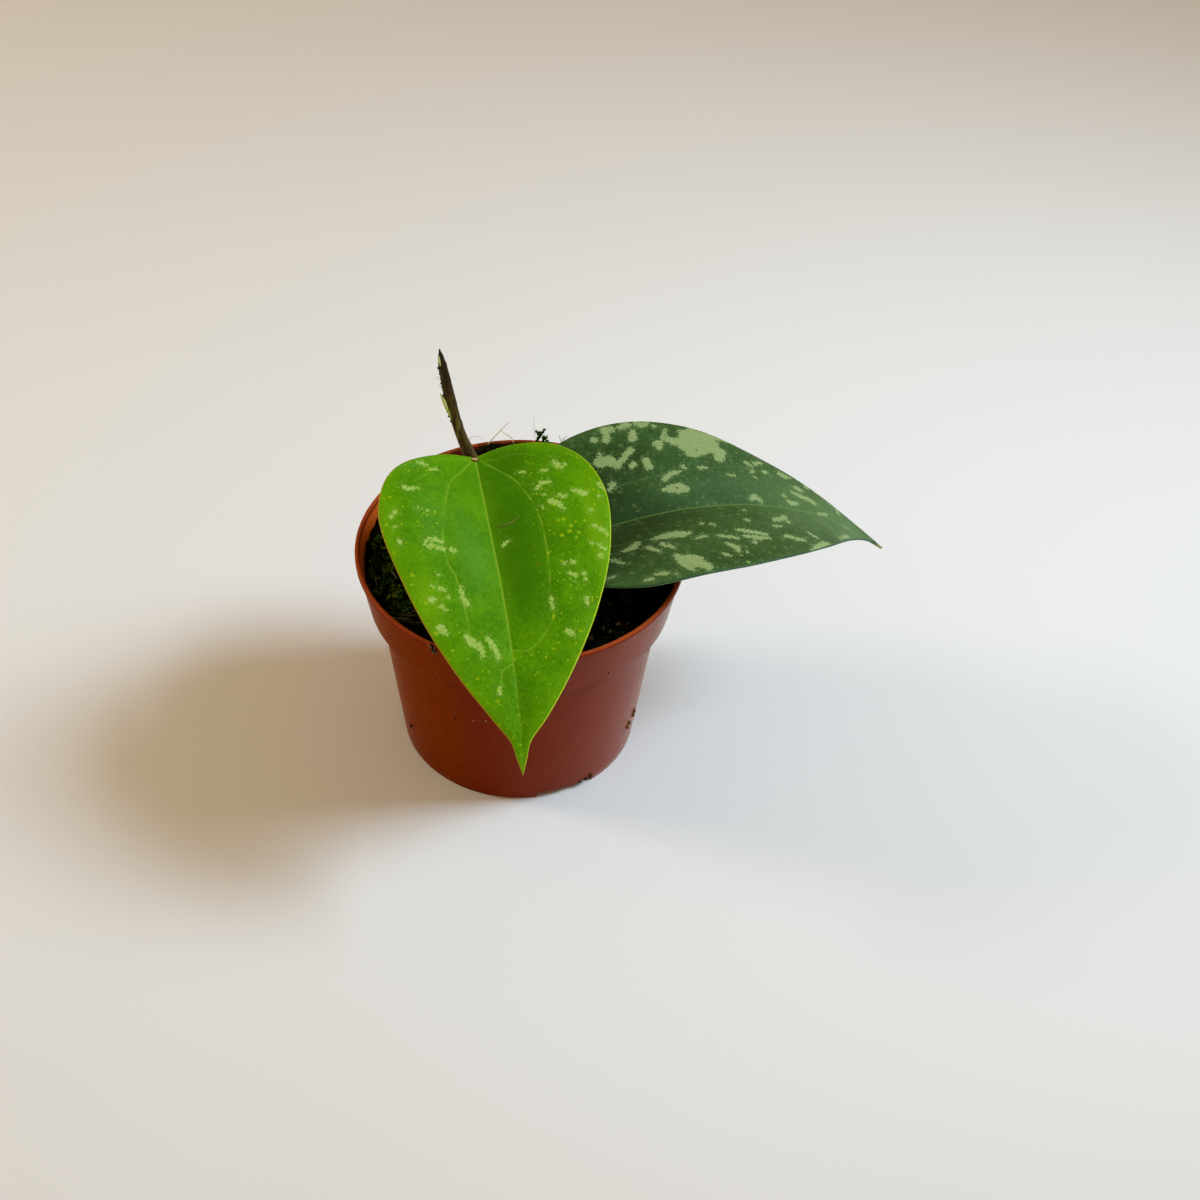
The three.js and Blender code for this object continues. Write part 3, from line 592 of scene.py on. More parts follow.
def satin_plastic():
    """Terracotta red-brown plastic with fine ripples, scuffs and a little dust, and painted light."""
    look = Material(
        "terracotta_plastic", 0.25, Specular_Tint=(0.5, 0.1, 0.02, 1), Sheen_Roughness=0.22)
    # The stored share is painted reflection and sheen by side, strongest on the right, and dust on the lip.
    sheen_and_dust = look.stored("side_sheen_and_dust")
    look.drive("Specular IOR Level", look.line(sheen_and_dust, 0.07, 0.006))
    look.drive("Sheen Weight", look.line(sheen_and_dust, 0.44, 0.12))
    look.drive("Sheen Tint", look.mix(sheen_and_dust, (1, 0.42, 0.08, 1), (1, 0.78, 0.64, 1)))
    cloudy = look.noise(38, 4)
    orange = look.mix(cloudy, srgb(118, 43, 0), srgb(130, 52, 2))
    red = look.mix(cloudy, srgb(116, 33, 2), srgb(128, 42, 6))
    # Painted light by side: a warmer orange where the share is low, on the left, and redder on the right.
    look.tone = look.mix(look.step(sheen_and_dust, 0.0, 0.12), orange, red)
    # Painted light: the inner wall and the lip top are painted brighter, the lip's inner step left darker.
    look.paint(look.stored("inner"), 1, (214, 98, 34))
    # Painted reflection: a pale veil over the right side, and dust over the lip.
    look.paint(sheen_and_dust, 0.08, (196, 156, 144))
    # Darker patches inside and on the rear lip.
    rear_darkening = look.step(look.noise(300, 3, 0.7), 0.34, 0.5)
    rear_darkening = look.times(rear_darkening, look.stored("rear_lip_darkening"))
    look.paint(rear_darkening, 0.9, (52, 32, 14))
    dust = look.step(look.noise(900, 2, 0.7), 0.66, 0.74)
    look.paint(dust, 0.35, (186, 132, 112))
    grit = look.step(look.cells(420), 0.09, 0.05)
    rare = look.step(look.noise(95, 2), 0.58, 0.63)
    look.paint(grit, rare, (66, 34, 22))
    scuffs = look.noise(1, 3, 0.75, (60, 60, 420))
    look.paint(look.step(scuffs, 0.7, 0.82), 0.06, (196, 130, 104))
    # Painted shade along the collar's foot.
    look.paint(look.stored("collar_foot_shade"), 0.35, (72, 22, 4))
    look.drive("Roughness", look.line(cloudy, 0.2, 0.15))
    look.bump(look.noise(60, 2, stretch=(1, 1, 0.35)), 0.25)
    look.bump(look.noise(1600, 2), 0.03)
    return look.done()


def pot_profile():
    """The closed outline of the pot's wall and floor, as radius and height."""
    top = FLOOR_HEIGHT + WALL
    ring = FOOT_RADIUS - FOOT_RING_WIDTH
    bore = RIM_RADIUS - LIP_WIDTH
    under = [
        (0, 0), (PAD_RADIUS - ROUNDING, 0), (PAD_RADIUS - CHAMFER, CHAMFER), (PAD_RADIUS, ROUNDING),
        (PAD_RADIUS, FLOOR_HEIGHT), (ring, FLOOR_HEIGHT), (ring, ROUNDING), (ring + CHAMFER, CHAMFER),
        (ring + ROUNDING, 0), (FOOT_RADIUS - ROUNDING, 0), (FOOT_RADIUS - CHAMFER, CHAMFER),
        (body_radius(ROUNDING), ROUNDING)]
    outside = [(body_radius(height), height) for height in np.linspace(4, 60, 8)]
    shoulder = [(BODY_TOP_RADIUS + out, COLLAR_FOOT + up) for out, up in COLLAR_STEP]
    band = [(collar_radius(height), height) for height in np.linspace(67.2, 84, 6)]
    lip = [(COLLAR_TOP_RADIUS, LIP_FOOT)] + LIP_TURN + [(bore, 86.7), (bore, LIP_FOOT)]
    inside = [(collar_radius(height) - WALL, height) for height in np.linspace(83, 68, 5)]
    inside += INNER_STEP + [(body_radius(64.4) - WALL, 64.2)]
    inside += [(body_radius(height) - WALL, height) for height in np.linspace(60, 8, 6)]
    corner = body_radius(top) - WALL
    inside += [
        (corner, top + ROUNDING), (corner - CHAMFER, top + CHAMFER), (corner - ROUNDING, top), (0, top)]
    return under + outside + shoulder + band + lip + inside


def bar(centre, size, turn):
    """Vertices and faces of a bar turned about the Z axis."""
    corners = [(x, y, z) for z in (-0.5, 0.5) for y in (-0.5, 0.5) for x in (-0.5, 0.5)]
    spin = Matrix.Rotation(turn, 3, "Z")
    vertices = [spin @ Vector((centre[0] + x * size[0], centre[1] + y * size[1], centre[2] + z * size[2]))
                for x, y, z in corners]
    faces = [(0, 2, 3, 1), (4, 5, 7, 6), (0, 1, 5, 4), (2, 6, 7, 3), (0, 4, 6, 2), (1, 3, 7, 5)]
    return np.array(vertices), faces


def make_pot(material):
    """One moulded wall with three notches at the foot and six drain holes in its floor."""
    pot = lathe("pot_wall", pot_profile(), POT_SIDES, material)
    depth, width, height = NOTCH
    cutters = []
    for k in range(NOTCHES):
        turn = math.radians(NOTCH_DIRECTION + 360 / NOTCHES * k)
        cutters.append(bar((FOOT_RADIUS, 0, 0), (depth, width, height), turn))
    for k in range(DRAINS):
        turn = math.radians(NOTCH_DIRECTION + 360 / DRAINS * k)
        ends = [(*polar(DRAIN_CIRCLE, turn), z, DRAIN_RADIUS, DRAIN_RADIUS) for z in (1, 4, 7)]
        cutters.append(tube(ends, (1, 0, 0), 40, 1))
    cutter = make_mesh("pot_cutter", *join(cutters), material)
    recalculate_normals(cutter)
    recalculate_normals(pot)
    applied(pot, "BOOLEAN", operation="DIFFERENCE", object=cutter, solver="EXACT")
    bpy.data.objects.remove(cutter)
    reshape(pot, bulge)
    shade_by_angle(pot, 40)
    x, y, z = (vertex_data(pot.data, "co") / MM).T
    for share in (inner, rear_lip_darkening, side_sheen_and_dust, collar_foot_shade):
        store(pot, share.__name__, share(x, y, z))
    return place(pot, "terracotta_plastic", "pot")


def is_inner(x, y, z):
    """True inside the collar and on the lip's inner step."""
    return (z > INNER_FROM) & (np.hypot(x, y) < collar_radius(np.minimum(z, LIP_FOOT)) - 0.5)


def inner(x, y, z):
    """Painted light: 1 high on the inner wall and less lower down, and some on the lip top."""
    bare = is_inner(x, y, z) * (0.6 + 0.4 * smoothstep(z, 82, 84.5))
    # Above the inner wall only the lip top is painted, so the lip's inner step stays darker as painted
    # shade.
    return np.where(z > 84.8, 0.42 * smoothstep(z, 86.9, 87.3), bare)


def rear_lip_darkening(x, y, z):
    """1 inside and on the lip at the rear, more lower down: the plastic is darker there."""
    aside = np.abs(np.degrees(np.arctan2(y, x)) - REAR_HEAP[1])
    near = is_inner(x, y, z) | (z > 86.5)
    return near * (0.6 + 0.4 * smoothstep(z, 87, 85)) * smoothstep(aside, 50, 30)


def collar_foot_shade(_x, _y, z):
    """Strength of the painted shade along the collar's foot."""
    return np.exp(-((z - COLLAR_FOOT + 0.15) / 0.45)**2)


def side_sheen_and_dust(x, y, z):
    """Painted reflection and sheen, most on the right and least at the collar's foot, and dust on the lip.
    """
    share = smoothstep(x / np.maximum(np.hypot(x, y), 1), -0.6, 1) * (1 - 0.75 * collar_foot_shade(x, y, z))
    return share + (0.35 - share) * smoothstep(z, 85.4, 87.2)


def bulge(vertices):
    """Pushes the rear of the collar out a little, as the soft pot is not quite round."""
    out = REAR_BULGE * smoothstep(vertices[:, 2], 60, 86) * smoothstep(vertices[:, 1], 22, 54)
    return vertices + out[:, None] * (0, 1, 0.25)


def vertex_data(mesh, key):
    values = np.empty(len(mesh.vertices) * 3, np.float32)
    mesh.vertices.foreach_get(key, values)
    return values.reshape(-1, 3).astype(float)


def reshape(piece, change):
    """Moves the vertices of a mesh by a function that takes and gives millimetres."""
    mesh = piece.data
    moved = change(vertex_data(mesh, "co") / MM) * MM
    mesh.vertices.foreach_set("co", moved.astype(np.float32).ravel())
    mesh.update()


def recalculate_normals(piece):
    mesh = bmesh.new()
    mesh.from_mesh(piece.data)
    bmesh.ops.recalc_face_normals(mesh, faces=mesh.faces)
    mesh.to_mesh(piece.data)
    mesh.free()


def shade_by_angle(piece, degrees):
    piece.data.shade_smooth()
    piece.data.set_sharp_from_angle(angle=math.radians(degrees))


# Soil

def soil_top(x, y):
    rear = smoothstep(y, 15, 50) * SOIL_REAR_RISE
    swell = 0.8 * np.sin(0.21 * x + 1.1) * np.cos(0.19 * y - 0.6)
    lumps = 0.45 * np.sin(0.67 * x - 0.41 * y + 2) + 0.35 * np.cos(0.52 * x + 0.83 * y)
    return SOIL_LEVEL + rear + swell + lumps


def soil_surface(x, y):
    """The top of the mix, with the heaps that lie against the wall on the left and at the rear."""
    turn = np.degrees(np.arctan2(y, x)) % 360
    reach = np.hypot(x, y) / SOIL_REACH
    height = soil_top(x, y)
    for (rise, middle, spread), start, full in ((LEFT_HEAP, 0.7, 0.95), (REAR_HEAP, 0.75, 0.97)):
        height = height + rise * np.exp(-((turn - middle) / spread)**2) * smoothstep(reach, start, full)
    return height


def soil_radius(height):
    return collar_radius(np.minimum(height, LIP_FOOT)) - WALL - SOIL_GAP


def on_soil(x, y, lift):
    """A place above the mix."""
    return x, y, float(soil_surface(x, y)) + lift


def fractal(points, scale, octaves, seed):
    offset = Vector((seed, 3.7 * seed, -1.9 * seed))
    return np.array([noise.fractal(Vector(p) * scale + offset, 1.0, 2.1, octaves) for p in points])


def make_soil(material):
    """The mix in the pot: a rough top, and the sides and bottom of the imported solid."""
    sides, rings = SOIL_SIDES, SOIL_RINGS
    angles = full_turn(sides)
    reach = np.linspace(1, 0.004, rings)[:, None]
    x = reach * SOIL_REACH * np.cos(angles)
    y = reach * SOIL_REACH * np.sin(angles)
    height = soil_surface(x, y)
    flat = np.stack([x, y, 0 * x], -1).reshape(-1, 3)
    rough = fractal(flat, 0.28, 3, 4) * 0.8 + np.abs(fractal(flat, 0.7, 4, 9)) * 1.6
    rough = rough.reshape(x.shape) * smoothstep(1 - reach, 0, 0.02) - 0.5
    height = height + rough
    flare = soil_radius(height) / SOIL_REACH
    top = np.stack([x * flare, y * flare, height], -1).reshape(-1, 3)
    inset = WALL + SOIL_GAP
    low = FLOOR_HEIGHT + WALL + SOIL_GAP
    foot = body_radius(low) - inset
    side = [(COLLAR_FOOT_RADIUS - inset, 67.6), (COLLAR_FOOT_RADIUS - inset - 0.8, 66.8),
            (BODY_TOP_RADIUS - inset - 0.1, 64.4), (foot, low + 0.8), (foot - 0.8, low)]
    wall = [(*polar(radius, turn), h) for radius, h in side[::-1] for turn in angles]
    vertices = np.vstack([wall, top, [(0, 0, low), (0, 0, height[-1].mean())]])
    soil = make_mesh("soil_body", bulge(vertices), skin_faces(len(side) + rings, sides), material)
    return place(soil, "potting_mix", "soil")


def dark_mix():
    """Damp peat: nearly black, with brown and olive grains."""
    look = Material("potting_mix", 0.95, Specular_IOR_Level=0.04)
    grain = look.noise(420, 5, 0.75)
    look.tone = look.mix(look.step(grain, 0.35, 0.7), srgb(3, 2, 1), srgb(17, 13, 7))
    patch = look.step(look.noise(60, 3), 0.52, 0.68)
    look.paint(patch, 0.5, (28, 33, 12))
    fleck = look.step(look.cells(520), 0.16, 0.06)
    rare = look.step(look.noise(240, 2), 0.6, 0.66)
    look.paint(fleck, rare, (112, 84, 48))
    look.bump(grain, 0.5)
    look.bump(look.noise(1500, 3), 0.12)
    return look.done()


def ball():
    """Points and faces of an icosahedron, each face cut in four."""
    golden = (1 + 5 ** 0.5) / 2
    pairs = [(u, v) for v in (golden, -golden) for u in (-1, 1)]
    corners = [(u, v, 0) for u, v in pairs] + [(0, u, v) for u, v in pairs] + [(v, 0, u) for u, v in pairs]
    faces = [(0, 11, 5), (0, 5, 1), (0, 1, 7), (0, 7, 10), (0, 10, 11), (1, 5, 9), (5, 11, 4),
             (11, 10, 2), (10, 7, 6), (7, 1, 8), (3, 9, 4), (3, 4, 2), (3, 2, 6), (3, 6, 8),
             (3, 8, 9), (4, 9, 5), (2, 4, 11), (6, 2, 10), (8, 6, 7), (9, 8, 1)]
    points = list(normalised(np.array(corners)))
    middle = {}

    def between(a, b):
        key = (min(a, b), max(a, b))
        if key not in middle:
            middle[key] = len(points)
            points.append(normalised(points[a] + points[b]))
        return middle[key]

    fine = []
    for a, b, c in faces:
        ab, bc, ca = between(a, b), between(b, c), between(c, a)
        fine += [(a, ab, ca), (b, bc, ab), (c, ca, bc), (ab, bc, ca)]
    return np.array(points), fine


BALL_POINTS, BALL_FACES = ball()


def lump(centre, size, chance):
    """A small angular lump: a ball with each corner moved at random."""
    stretch = np.array([chance.uniform(0.6, 1.4), chance.uniform(0.6, 1.3), chance.uniform(0.4, 0.9)])
    rough = np.array([chance.uniform(0.78, 1.12) for _ in BALL_POINTS])[:, None]
    spin = np.array(Matrix.Rotation(chance.uniform(0, 6.28), 3, "Z")
                    @ Matrix.Rotation(chance.uniform(-0.6, 0.6), 3, "X"))
    return (BALL_POINTS * rough * stretch * size) @ spin.T + np.asarray(centre), BALL_FACES


def make_crumbs(material):
    """Loose grains on the soil, larger ones rarer, with a shade for each."""
    chance = random.Random(CRUMB_SEED)
    bits = Bits()
    for k in range(CRUMBS):
        turn, reach = chance.uniform(0, 2 * math.pi), CRUMB_REACH * chance.random() ** 0.42
        if k < REAR_CRUMBS:
            turn, reach = math.radians(chance.uniform(*REAR_TURNS)), chance.uniform(*REAR_REACHES)
        size = FINEST_CRUMB + CRUMB_RANGE * chance.random() ** 3
        bits.add(lump(on_soil(*polar(reach, turn), 0.15 + 0.2 * size), size, chance), chance.random())
    return place(bits.piece("soil_crumbs", material, smooth=False), "potting_mix")


def crumb_mix():
    look = Material("soil_crumbs", 0.95, Specular_IOR_Level=0.05)
    shade = look.stored("shade")
    look.tone = look.mix(shade, srgb(8, 7, 5), srgb(25, 20, 13))
    look.paint(look.step(shade, 0.86, 0.9), 1, (66, 42, 20))
    look.paint(look.step(shade, 0.95, 0.96), 1, (124, 96, 50))
    look.paint(look.step(shade, 0.04, 0.03), 1, (46, 54, 14))
    look.paint(look.noise(700, 3), 0.6, (14, 11, 6))
    look.bump(look.noise(1300, 3), 0.15)
    return look.done()


# Leaves

def bezier(points, share):
    a, b, c, d = np.asarray(points, float)
    t = np.asarray(share, float)[..., None]
    return (1 - t)**3 * a + 3 * (1 - t)**2 * t * b + 3 * (1 - t) * t * t * c + t**3 * d


def blade_point(leaf, along, out, lift):
    """Points of the blade, lifted off its middle surface."""
    a, b, c, d = np.asarray(leaf["midrib"], float)
    along, out, lift = (np.asarray(value, float) for value in (along, out, lift))
    t = along[..., None]
    heading = normalised((1 - t)**2 * (b - a) + 2 * (1 - t) * t * (c - b) + t * t * (d - c))
    left = normalised(np.cross((0, 0, 1), heading))
    up = np.cross(heading, left)
    near, far = leaf["fold"]
    fold = near + (far - near) * np.clip(along, 0, 1)
    rise = fold * np.abs(out) - leaf["flatten"] * out**2
    return bezier(leaf["midrib"], along) + left * out[..., None] + up * (rise + lift)[..., None]


def patch_distance(points, patches):
    """The distance from each point to the edge of the nearest patch, below zero within it."""
    nearest = np.full(len(points), 20.0)
    for patch in patches:
        stops = np.reshape(np.asarray(patch, float), (-1, 3))
        if len(stops) == 1:
            stops = np.vstack([stops, stops + (0.01, 0, 0)])
        for start, end in zip(stops[:-1], stops[1:]):
            along = (end - start)[:2]
            share = np.clip(((points - start[:2]) @ along) / (along @ along), 0, 1)
            spot = start[:2] + share[:, None] * along
            size = start[2] + share * (end[2] - start[2])
            nearest = np.minimum(nearest, np.linalg.norm(points - spot, axis=1) - size)
    return nearest


def line_distance(points, lines):
    """The distance from each point to the nearest of some smooth lines."""
    curves = [catmull_rom(line, np.linspace(0, 1, 5 * len(line))) for line in lines]
    return patch_distance(points, [np.column_stack([curve, 0 * curve[:, 0]]) for curve in curves])


def soft_spots(points, spots):
    """The sum of soft spots: along, out, their two reaches and a strength."""
    total = np.zeros(len(points))
    for along, out, reach_along, reach_out, strength in spots:
        far = ((points[:, 0] - along) / reach_along)**2 + ((points[:, 1] - out) / reach_out)**2
        total += strength * np.exp(-far)
    return np.clip(total, -1, 1)


def half_blade(leaf, sign, columns, top):
    """One half of the blade's top or underside, as rows of points with their leaf coordinates."""
    share = np.linspace(0, 1, ROWS)
    rim = catmull_rom(leaf["left" if sign > 0 else "right"], share)
    lead = share**SPOKE_LEAD
    spoke = np.maximum(np.hypot((rim[:, 0] - lead) * leaf["length"], rim[:, 1]), 0.05)
    edge = np.minimum(MARGIN_ROUND / spoke, 0.5)[:, None]
    inner = np.linspace(0, 1, columns)[None] * (1 - edge)
    outer = 1 - edge * np.array(MARGIN_STEPS)[None]
    reach = np.hstack([inner, outer])
    along = lead[:, None] + (rim[:, :1] - lead[:, None]) * reach
    out = sign * rim[:, 1:] * reach
    margin = (1 - reach) * spoke[:, None]
    bend = 1 - np.minimum((1 - reach) / edge, 1)
    half = 0.5 * BLADE * np.sqrt(np.maximum(1 - bend**2, 0))
    return along, out, margin, half if top else -half


def dip(distance, width):
    """1 on a line and 0 away from it."""
    return np.exp(-(distance / width)**2)


def relief(along, spot, upper, margin, veins, faint, seed):
    """How far the blade's skin swells or sinks: grooves over its veins and ridges below them."""
    inside = smoothstep(margin, 0, QUIET_MARGIN)
    midrib = np.abs(spot[:, 1])
    taper = 1 - 0.7 * np.clip(along, 0, 1)
    groove = -MIDRIB_GROOVE * taper * dip(midrib, 0.6) - VEIN_GROOVE * inside * dip(veins, 0.6)
    groove -= FAINT_GROOVE * inside * dip(faint, 0.6)
    ridge = -MIDRIB_RIDGE * taper * dip(midrib, 1.1) - VEIN_RIDGE * inside * dip(veins, 0.8)
    swell = fractal(np.column_stack([spot, 0 * midrib]), SWELL_SCALE, 2, seed) * BLADE_SWELL * inside
    pillow = BLADE_PILLOW * inside * smoothstep(np.minimum(veins, midrib), 0, 6)
    return swell + pillow + np.where(upper, groove, ridge)


def make_leaf(name, leaf, node, slot, material):
    """A blade with a grooved top, a raised midrib below and a rounded margin."""
    parts, margins = [], []
    for sign in (1, -1):
        for top, columns in ((True, TOP_COLUMNS), (False, UNDER_COLUMNS)):
            along, out, margin, half = half_blade(leaf, sign, columns, top)
            count = along.shape[1]
            parts.append((np.stack([along, out, half], -1).reshape(-1, 3),
                          grid_faces(ROWS, count, flip=(sign > 0) != top)))
            margins.append(margin.ravel())
    joined, faces = join(parts)
    along, out, half = joined.T
    margin = np.concatenate(margins)
    spot = np.stack([along * leaf["length"], out], -1)
    veins = line_distance(spot, leaf["veins"])
    faint = line_distance(spot, leaf["faint_veins"])
    lift = half + relief(along, spot, half > 0, margin, veins, faint, leaf["seed"])
    vertices, faces, kept = weld(blade_point(leaf, along, out, lift), faces, 1e-3)
    blade = make_mesh(name, vertices, faces, material)
    recalculate_normals(blade)
    spot = spot[kept]
    store(blade, "leaf_mm", np.column_stack([spot, half[kept] > 0]), "FLOAT_VECTOR")
    for key in ("patches", "yellow", "spots"):
        store(blade, key, patch_distance(spot, leaf[key]))
    # Spots of painted shade, highlight and sheen.
    for key in ("light_and_shade", "painted_sheen"):
        store(blade, key, soft_spots(spot, leaf[key]))
    for key, values in {"vein": veins, "faint": faint, "margin": margin}.items():
        store(blade, key, values[kept])
    return place(blade, slot, node)


def leaf_green(look, palette, margin):
    """Greens from wide tones to side veins, and painted shade, highlight and sheen. Returns the fine mottle.
    """
    mottle = look.noise(0.8, 5, 0.75)
    wide = look.step(look.noise(0.07, 4), 0.35, 0.65)
    look.tone = look.mix(wide, srgb(*palette["deep"]), srgb(*palette["fresh"]))
    look.paint(look.step(mottle, 0.46, 0.66), palette["mottle_share"], "bright")
    look.paint(look.step(look.noise(0.5, 5, 0.7), 0.54, 0.3), 0.5, "dark")
    # Painted shade below 0 and painted highlight above 0, from the stored spots.
    look.paint(look.step(look.stored("light_and_shade"), -0.05, -0.9), 0.85, "dark")
    look.paint(look.step(look.stored("light_and_shade"), 0.05, 0.95), 0.85, "bright")
    look.paint(look.step(margin, 6.0, 0.0), palette["edge_share"], "bright")
    # Painted sheen: paler bluish spots where the blade would catch the window.
    look.paint(look.stored("painted_sheen"), 0.6, "painted_sheen")
    flecks = look.times(look.step(look.cells(0.3), 0.42, 0.1), look.step(mottle, 0.4, 0.6))
    look.paint(flecks, palette["fleck_share"], "silver")
    side_veins = look.step(look.stored("vein"), 0.58, 0.1)
    broken = look.step(look.noise(0.16, 2), 0.25, 0.6)
    look.paint(look.times(side_veins, broken), palette["vein_share"], "vein")
    look.paint(look.step(look.stored("faint"), 0.5, 0.1), palette["faint_share"], "vein")
    return mottle


def leaf_silver(look, palette, along, midrib):
    """Silver patches with ragged edges and a halo of grains, and the yellow specks."""
    swing, grit = palette["ragged"]
    coarse = look.line(look.noise(1.0, 3, 0.7), swing, -0.5 * swing)
    ragged = look.math("ADD", look.line(look.noise(2.6, 2, 0.7), grit, -0.5 * grit), coarse)
    patch = look.step(look.math("ADD", look.stored("patches"), ragged), 0.2, 0.08)
    speckle = look.step(look.noise(1.9, 3, 0.75), 0.36, 0.54)
    solid = palette["solid"]
    patch = look.times(patch, look.line(speckle, 1 - solid, solid))
    grains = look.step(look.noise(1.5, 3, 0.8), 0.57, 0.63)
    halo = look.times(look.step(look.stored("patches"), 3.0, 0.2), grains)
    patch = look.math("MAXIMUM", patch, look.times(halo, 0.65))
    look.paint(patch, palette["silver_share"], "silver")
    core = look.times(patch, look.step(look.noise(0.9, 3, 0.7), 0.47, 0.6))
    look.paint(core, 0.5, "core")
    yellow = look.math("ADD", look.stored("yellow"), look.times(ragged, 0.5))
    look.paint(look.step(yellow, 0.25, -0.1), 0.6, "yellow")
    uneven = look.line(look.noise(0.5, 3, 0.7), 1.2, -0.5)
    dots = look.step(look.math("ADD", look.cells(0.55), uneven), 0.3, 0.1)
    some = look.math("MAXIMUM", look.step(midrib, 8, 20), look.step(along, 62, 84))
    look.paint(look.times(dots, some), palette["dot_share"], "yellow")


def leaf_lines(look, palette, along, out, midrib, margin):
    """The midrib, brown spots and the thin line along each margin."""
    fading = look.step(along, palette["fade_from"] + 35, palette["fade_from"])
    rib = look.times(look.step(midrib, 0.6, 0.12), look.line(fading, 0.7, 0.3))
    look.paint(rib, palette["midrib_share"], "vein")
    look.paint(look.step(look.stored("spots"), 0.3, -0.2), 0.75, "spot")
    left = look.math("GREATER_THAN", out, 0.0)
    edge = look.step(margin, 0.52, 0.2)
    look.paint(look.times(edge, left), 0.85, "left_line")
    look.paint(look.times(edge, look.math("SUBTRACT", 1.0, left)), 0.85, "right_line")


def leaf_look(name, palette):
    """The blade's material. Patches and veins come from distances stored on its mesh."""
    look = Material(name, LEAF_ROUGHNESS, "leaf_mm", Specular_IOR_Level=0.3, Specular_Tint=palette["sheen"])
    look.palette = palette
    along, out, above = look.node("ShaderNodeSeparateXYZ", {0: look.space}).outputs
    midrib = look.math("ABSOLUTE", out)
    margin = look.stored("margin")
    mottle = leaf_green(look, palette, margin)
    leaf_silver(look, palette, along, midrib)
    leaf_lines(look, palette, along, out, midrib, margin)
    look.paint(look.step(above, 0.6, 0.4), 0.85, "under")
    look.paint(look.step(along, palette["tip_from"], palette["tip_from"] + 4), 0.7, "tip")
    look.drive("Roughness", look.line(mottle, 0.2, LEAF_ROUGHNESS - 0.1))
    look.bump(look.noise(0.45, 4), 0.3)
    look.bump(look.noise(2.2, 3), 0.09)
    return look.done()


# Palettes of the two leaves: colours, then the share of each layer and where along it starts
LEAF_ROUGHNESS = 0.42
YOUNG_COLOURS = {
    "deep": (70, 133, 0), "fresh": (88, 151, 0), "dark": (54, 108, 0),
    "bright": (114, 168, 6), "painted_sheen": (80, 146, 48), "vein": (136, 178, 40),
    "silver": (162, 198, 88), "core": (194, 218, 132), "yellow": (168, 200, 24),
    "spot": (128, 100, 14),
    "left_line": (196, 212, 24), "right_line": (186, 140, 0), "under": (130, 166, 60),
    "tip": (120, 104, 26), "tip_from": 121.5, "edge_share": 0.35, "vein_share": 0.55,
    "ragged": (3.9, 2.0), "solid": 0.6, "fade_from": 62, "sheen": (0.45, 0.9, 0.1, 1),
    "faint_share": 0.16, "silver_share": 0.9, "dot_share": 0.75, "midrib_share": 0.7, "fleck_share": 0.05,
    "mottle_share": 0.42}
MATURE_COLOURS = {
    "deep": (43, 77, 30), "fresh": (52, 87, 39), "dark": (25, 51, 13),
    "bright": (80, 112, 64), "painted_sheen": (72, 107, 70), "vein": (100, 134, 66),
    "silver": (139, 162, 102), "core": (154, 173, 122), "yellow": (146, 172, 80),
    "spot": (84, 74, 34),
    "left_line": (110, 140, 80), "right_line": (30, 62, 58), "under": (104, 136, 74),
    "tip": (206, 192, 130), "tip_from": 137.0, "edge_share": 0.12, "vein_share": 0.3,
    "ragged": (5.0, 2.2), "solid": 0.82, "fade_from": 104, "sheen": (0.6, 0.9, 0.6, 1),
    "faint_share": 0.2, "silver_share": 0.97, "dot_share": 0.2, "midrib_share": 0.55, "fleck_share": 0.3,
    "mottle_share": 0.3}


# Stem

def stalk_points(leaf, stalk):
    ends = []
    for along, radius in STALK_END:
        spot = blade_point(leaf, along, 0, -BLADE / 2 - STALK_GAP - radius)
        ends.append((*spot, radius, radius))
    return stalk + ends


def make_stem(material):
    """The cut vine with its node, torn end and two leaf stalks, joined into one skin."""
    parts = [
        tube(STEM, (0, 1, 0), 32),
        tube(stalk_points(YOUNG, YOUNG_STALK), (1, 0, 0), 24),
        tube(stalk_points(MATURE, MATURE_STALK), (0, 0, 1), 24),
        tube(TORN_STRIP, (0, 1, 0), 16)]
    stem = make_mesh("stem_vine", *join(parts), material)
    recalculate_normals(stem)
    applied(stem, "REMESH", mode="VOXEL", voxel_size=STEM_VOXEL * MM, use_smooth_shade=True)
    applied(stem, "SMOOTH", factor=0.5, iterations=2)
    normals = vertex_data(stem.data, "normal")

    def roughen(spots):
        bark = fractal(spots * (1, 1, 0.22), 1.1, 3, 5) * 0.09 + fractal(spots, 0.4, 2, 8) * 0.1
        return spots + normals * bark[:, None]

    reshape(stem, roughen)
    stem.data.shade_smooth()
    return place(stem, "dried_bark", "stem")


def bark_look():
    """Olive brown vine with a purplish side, drier and darker above the node."""
    look = Material("dried_bark", 0.6, Specular_IOR_Level=0.2)
    parts = look.node("ShaderNodeSeparateXYZ", {0: look.space})
    grain = look.noise(900, 4, 0.7, (1, 1, 0.16))
    look.tone = look.mix(grain, srgb(58, 44, 18), srgb(108, 88, 40))
    blotch = look.step(look.noise(330, 3, 0.7, (1, 1, 0.3)), 0.47, 0.56)
    look.paint(blotch, 0.75, (56, 32, 30))
    pale = look.step(look.noise(520, 3, 0.7, (1, 1, 0.08)), 0.56, 0.64)
    look.paint(pale, 0.6, (138, 124, 70))
    dry = look.step(parts.outputs[2], DRY_FROM * MM, DRY_FULL * MM)
    look.paint(dry, 0.7, (44, 34, 18))
    streak = look.step(look.noise(1500, 3, stretch=(1, 1, 0.1)), 0.6, 0.7)
    look.paint(streak, 0.6, (30, 24, 14))
    look.bump(grain, 0.2)
    look.bump(look.noise(1400, 3), 0.06)
    return look.done()


# Small pieces: moss, fibres, torn tissue and specks

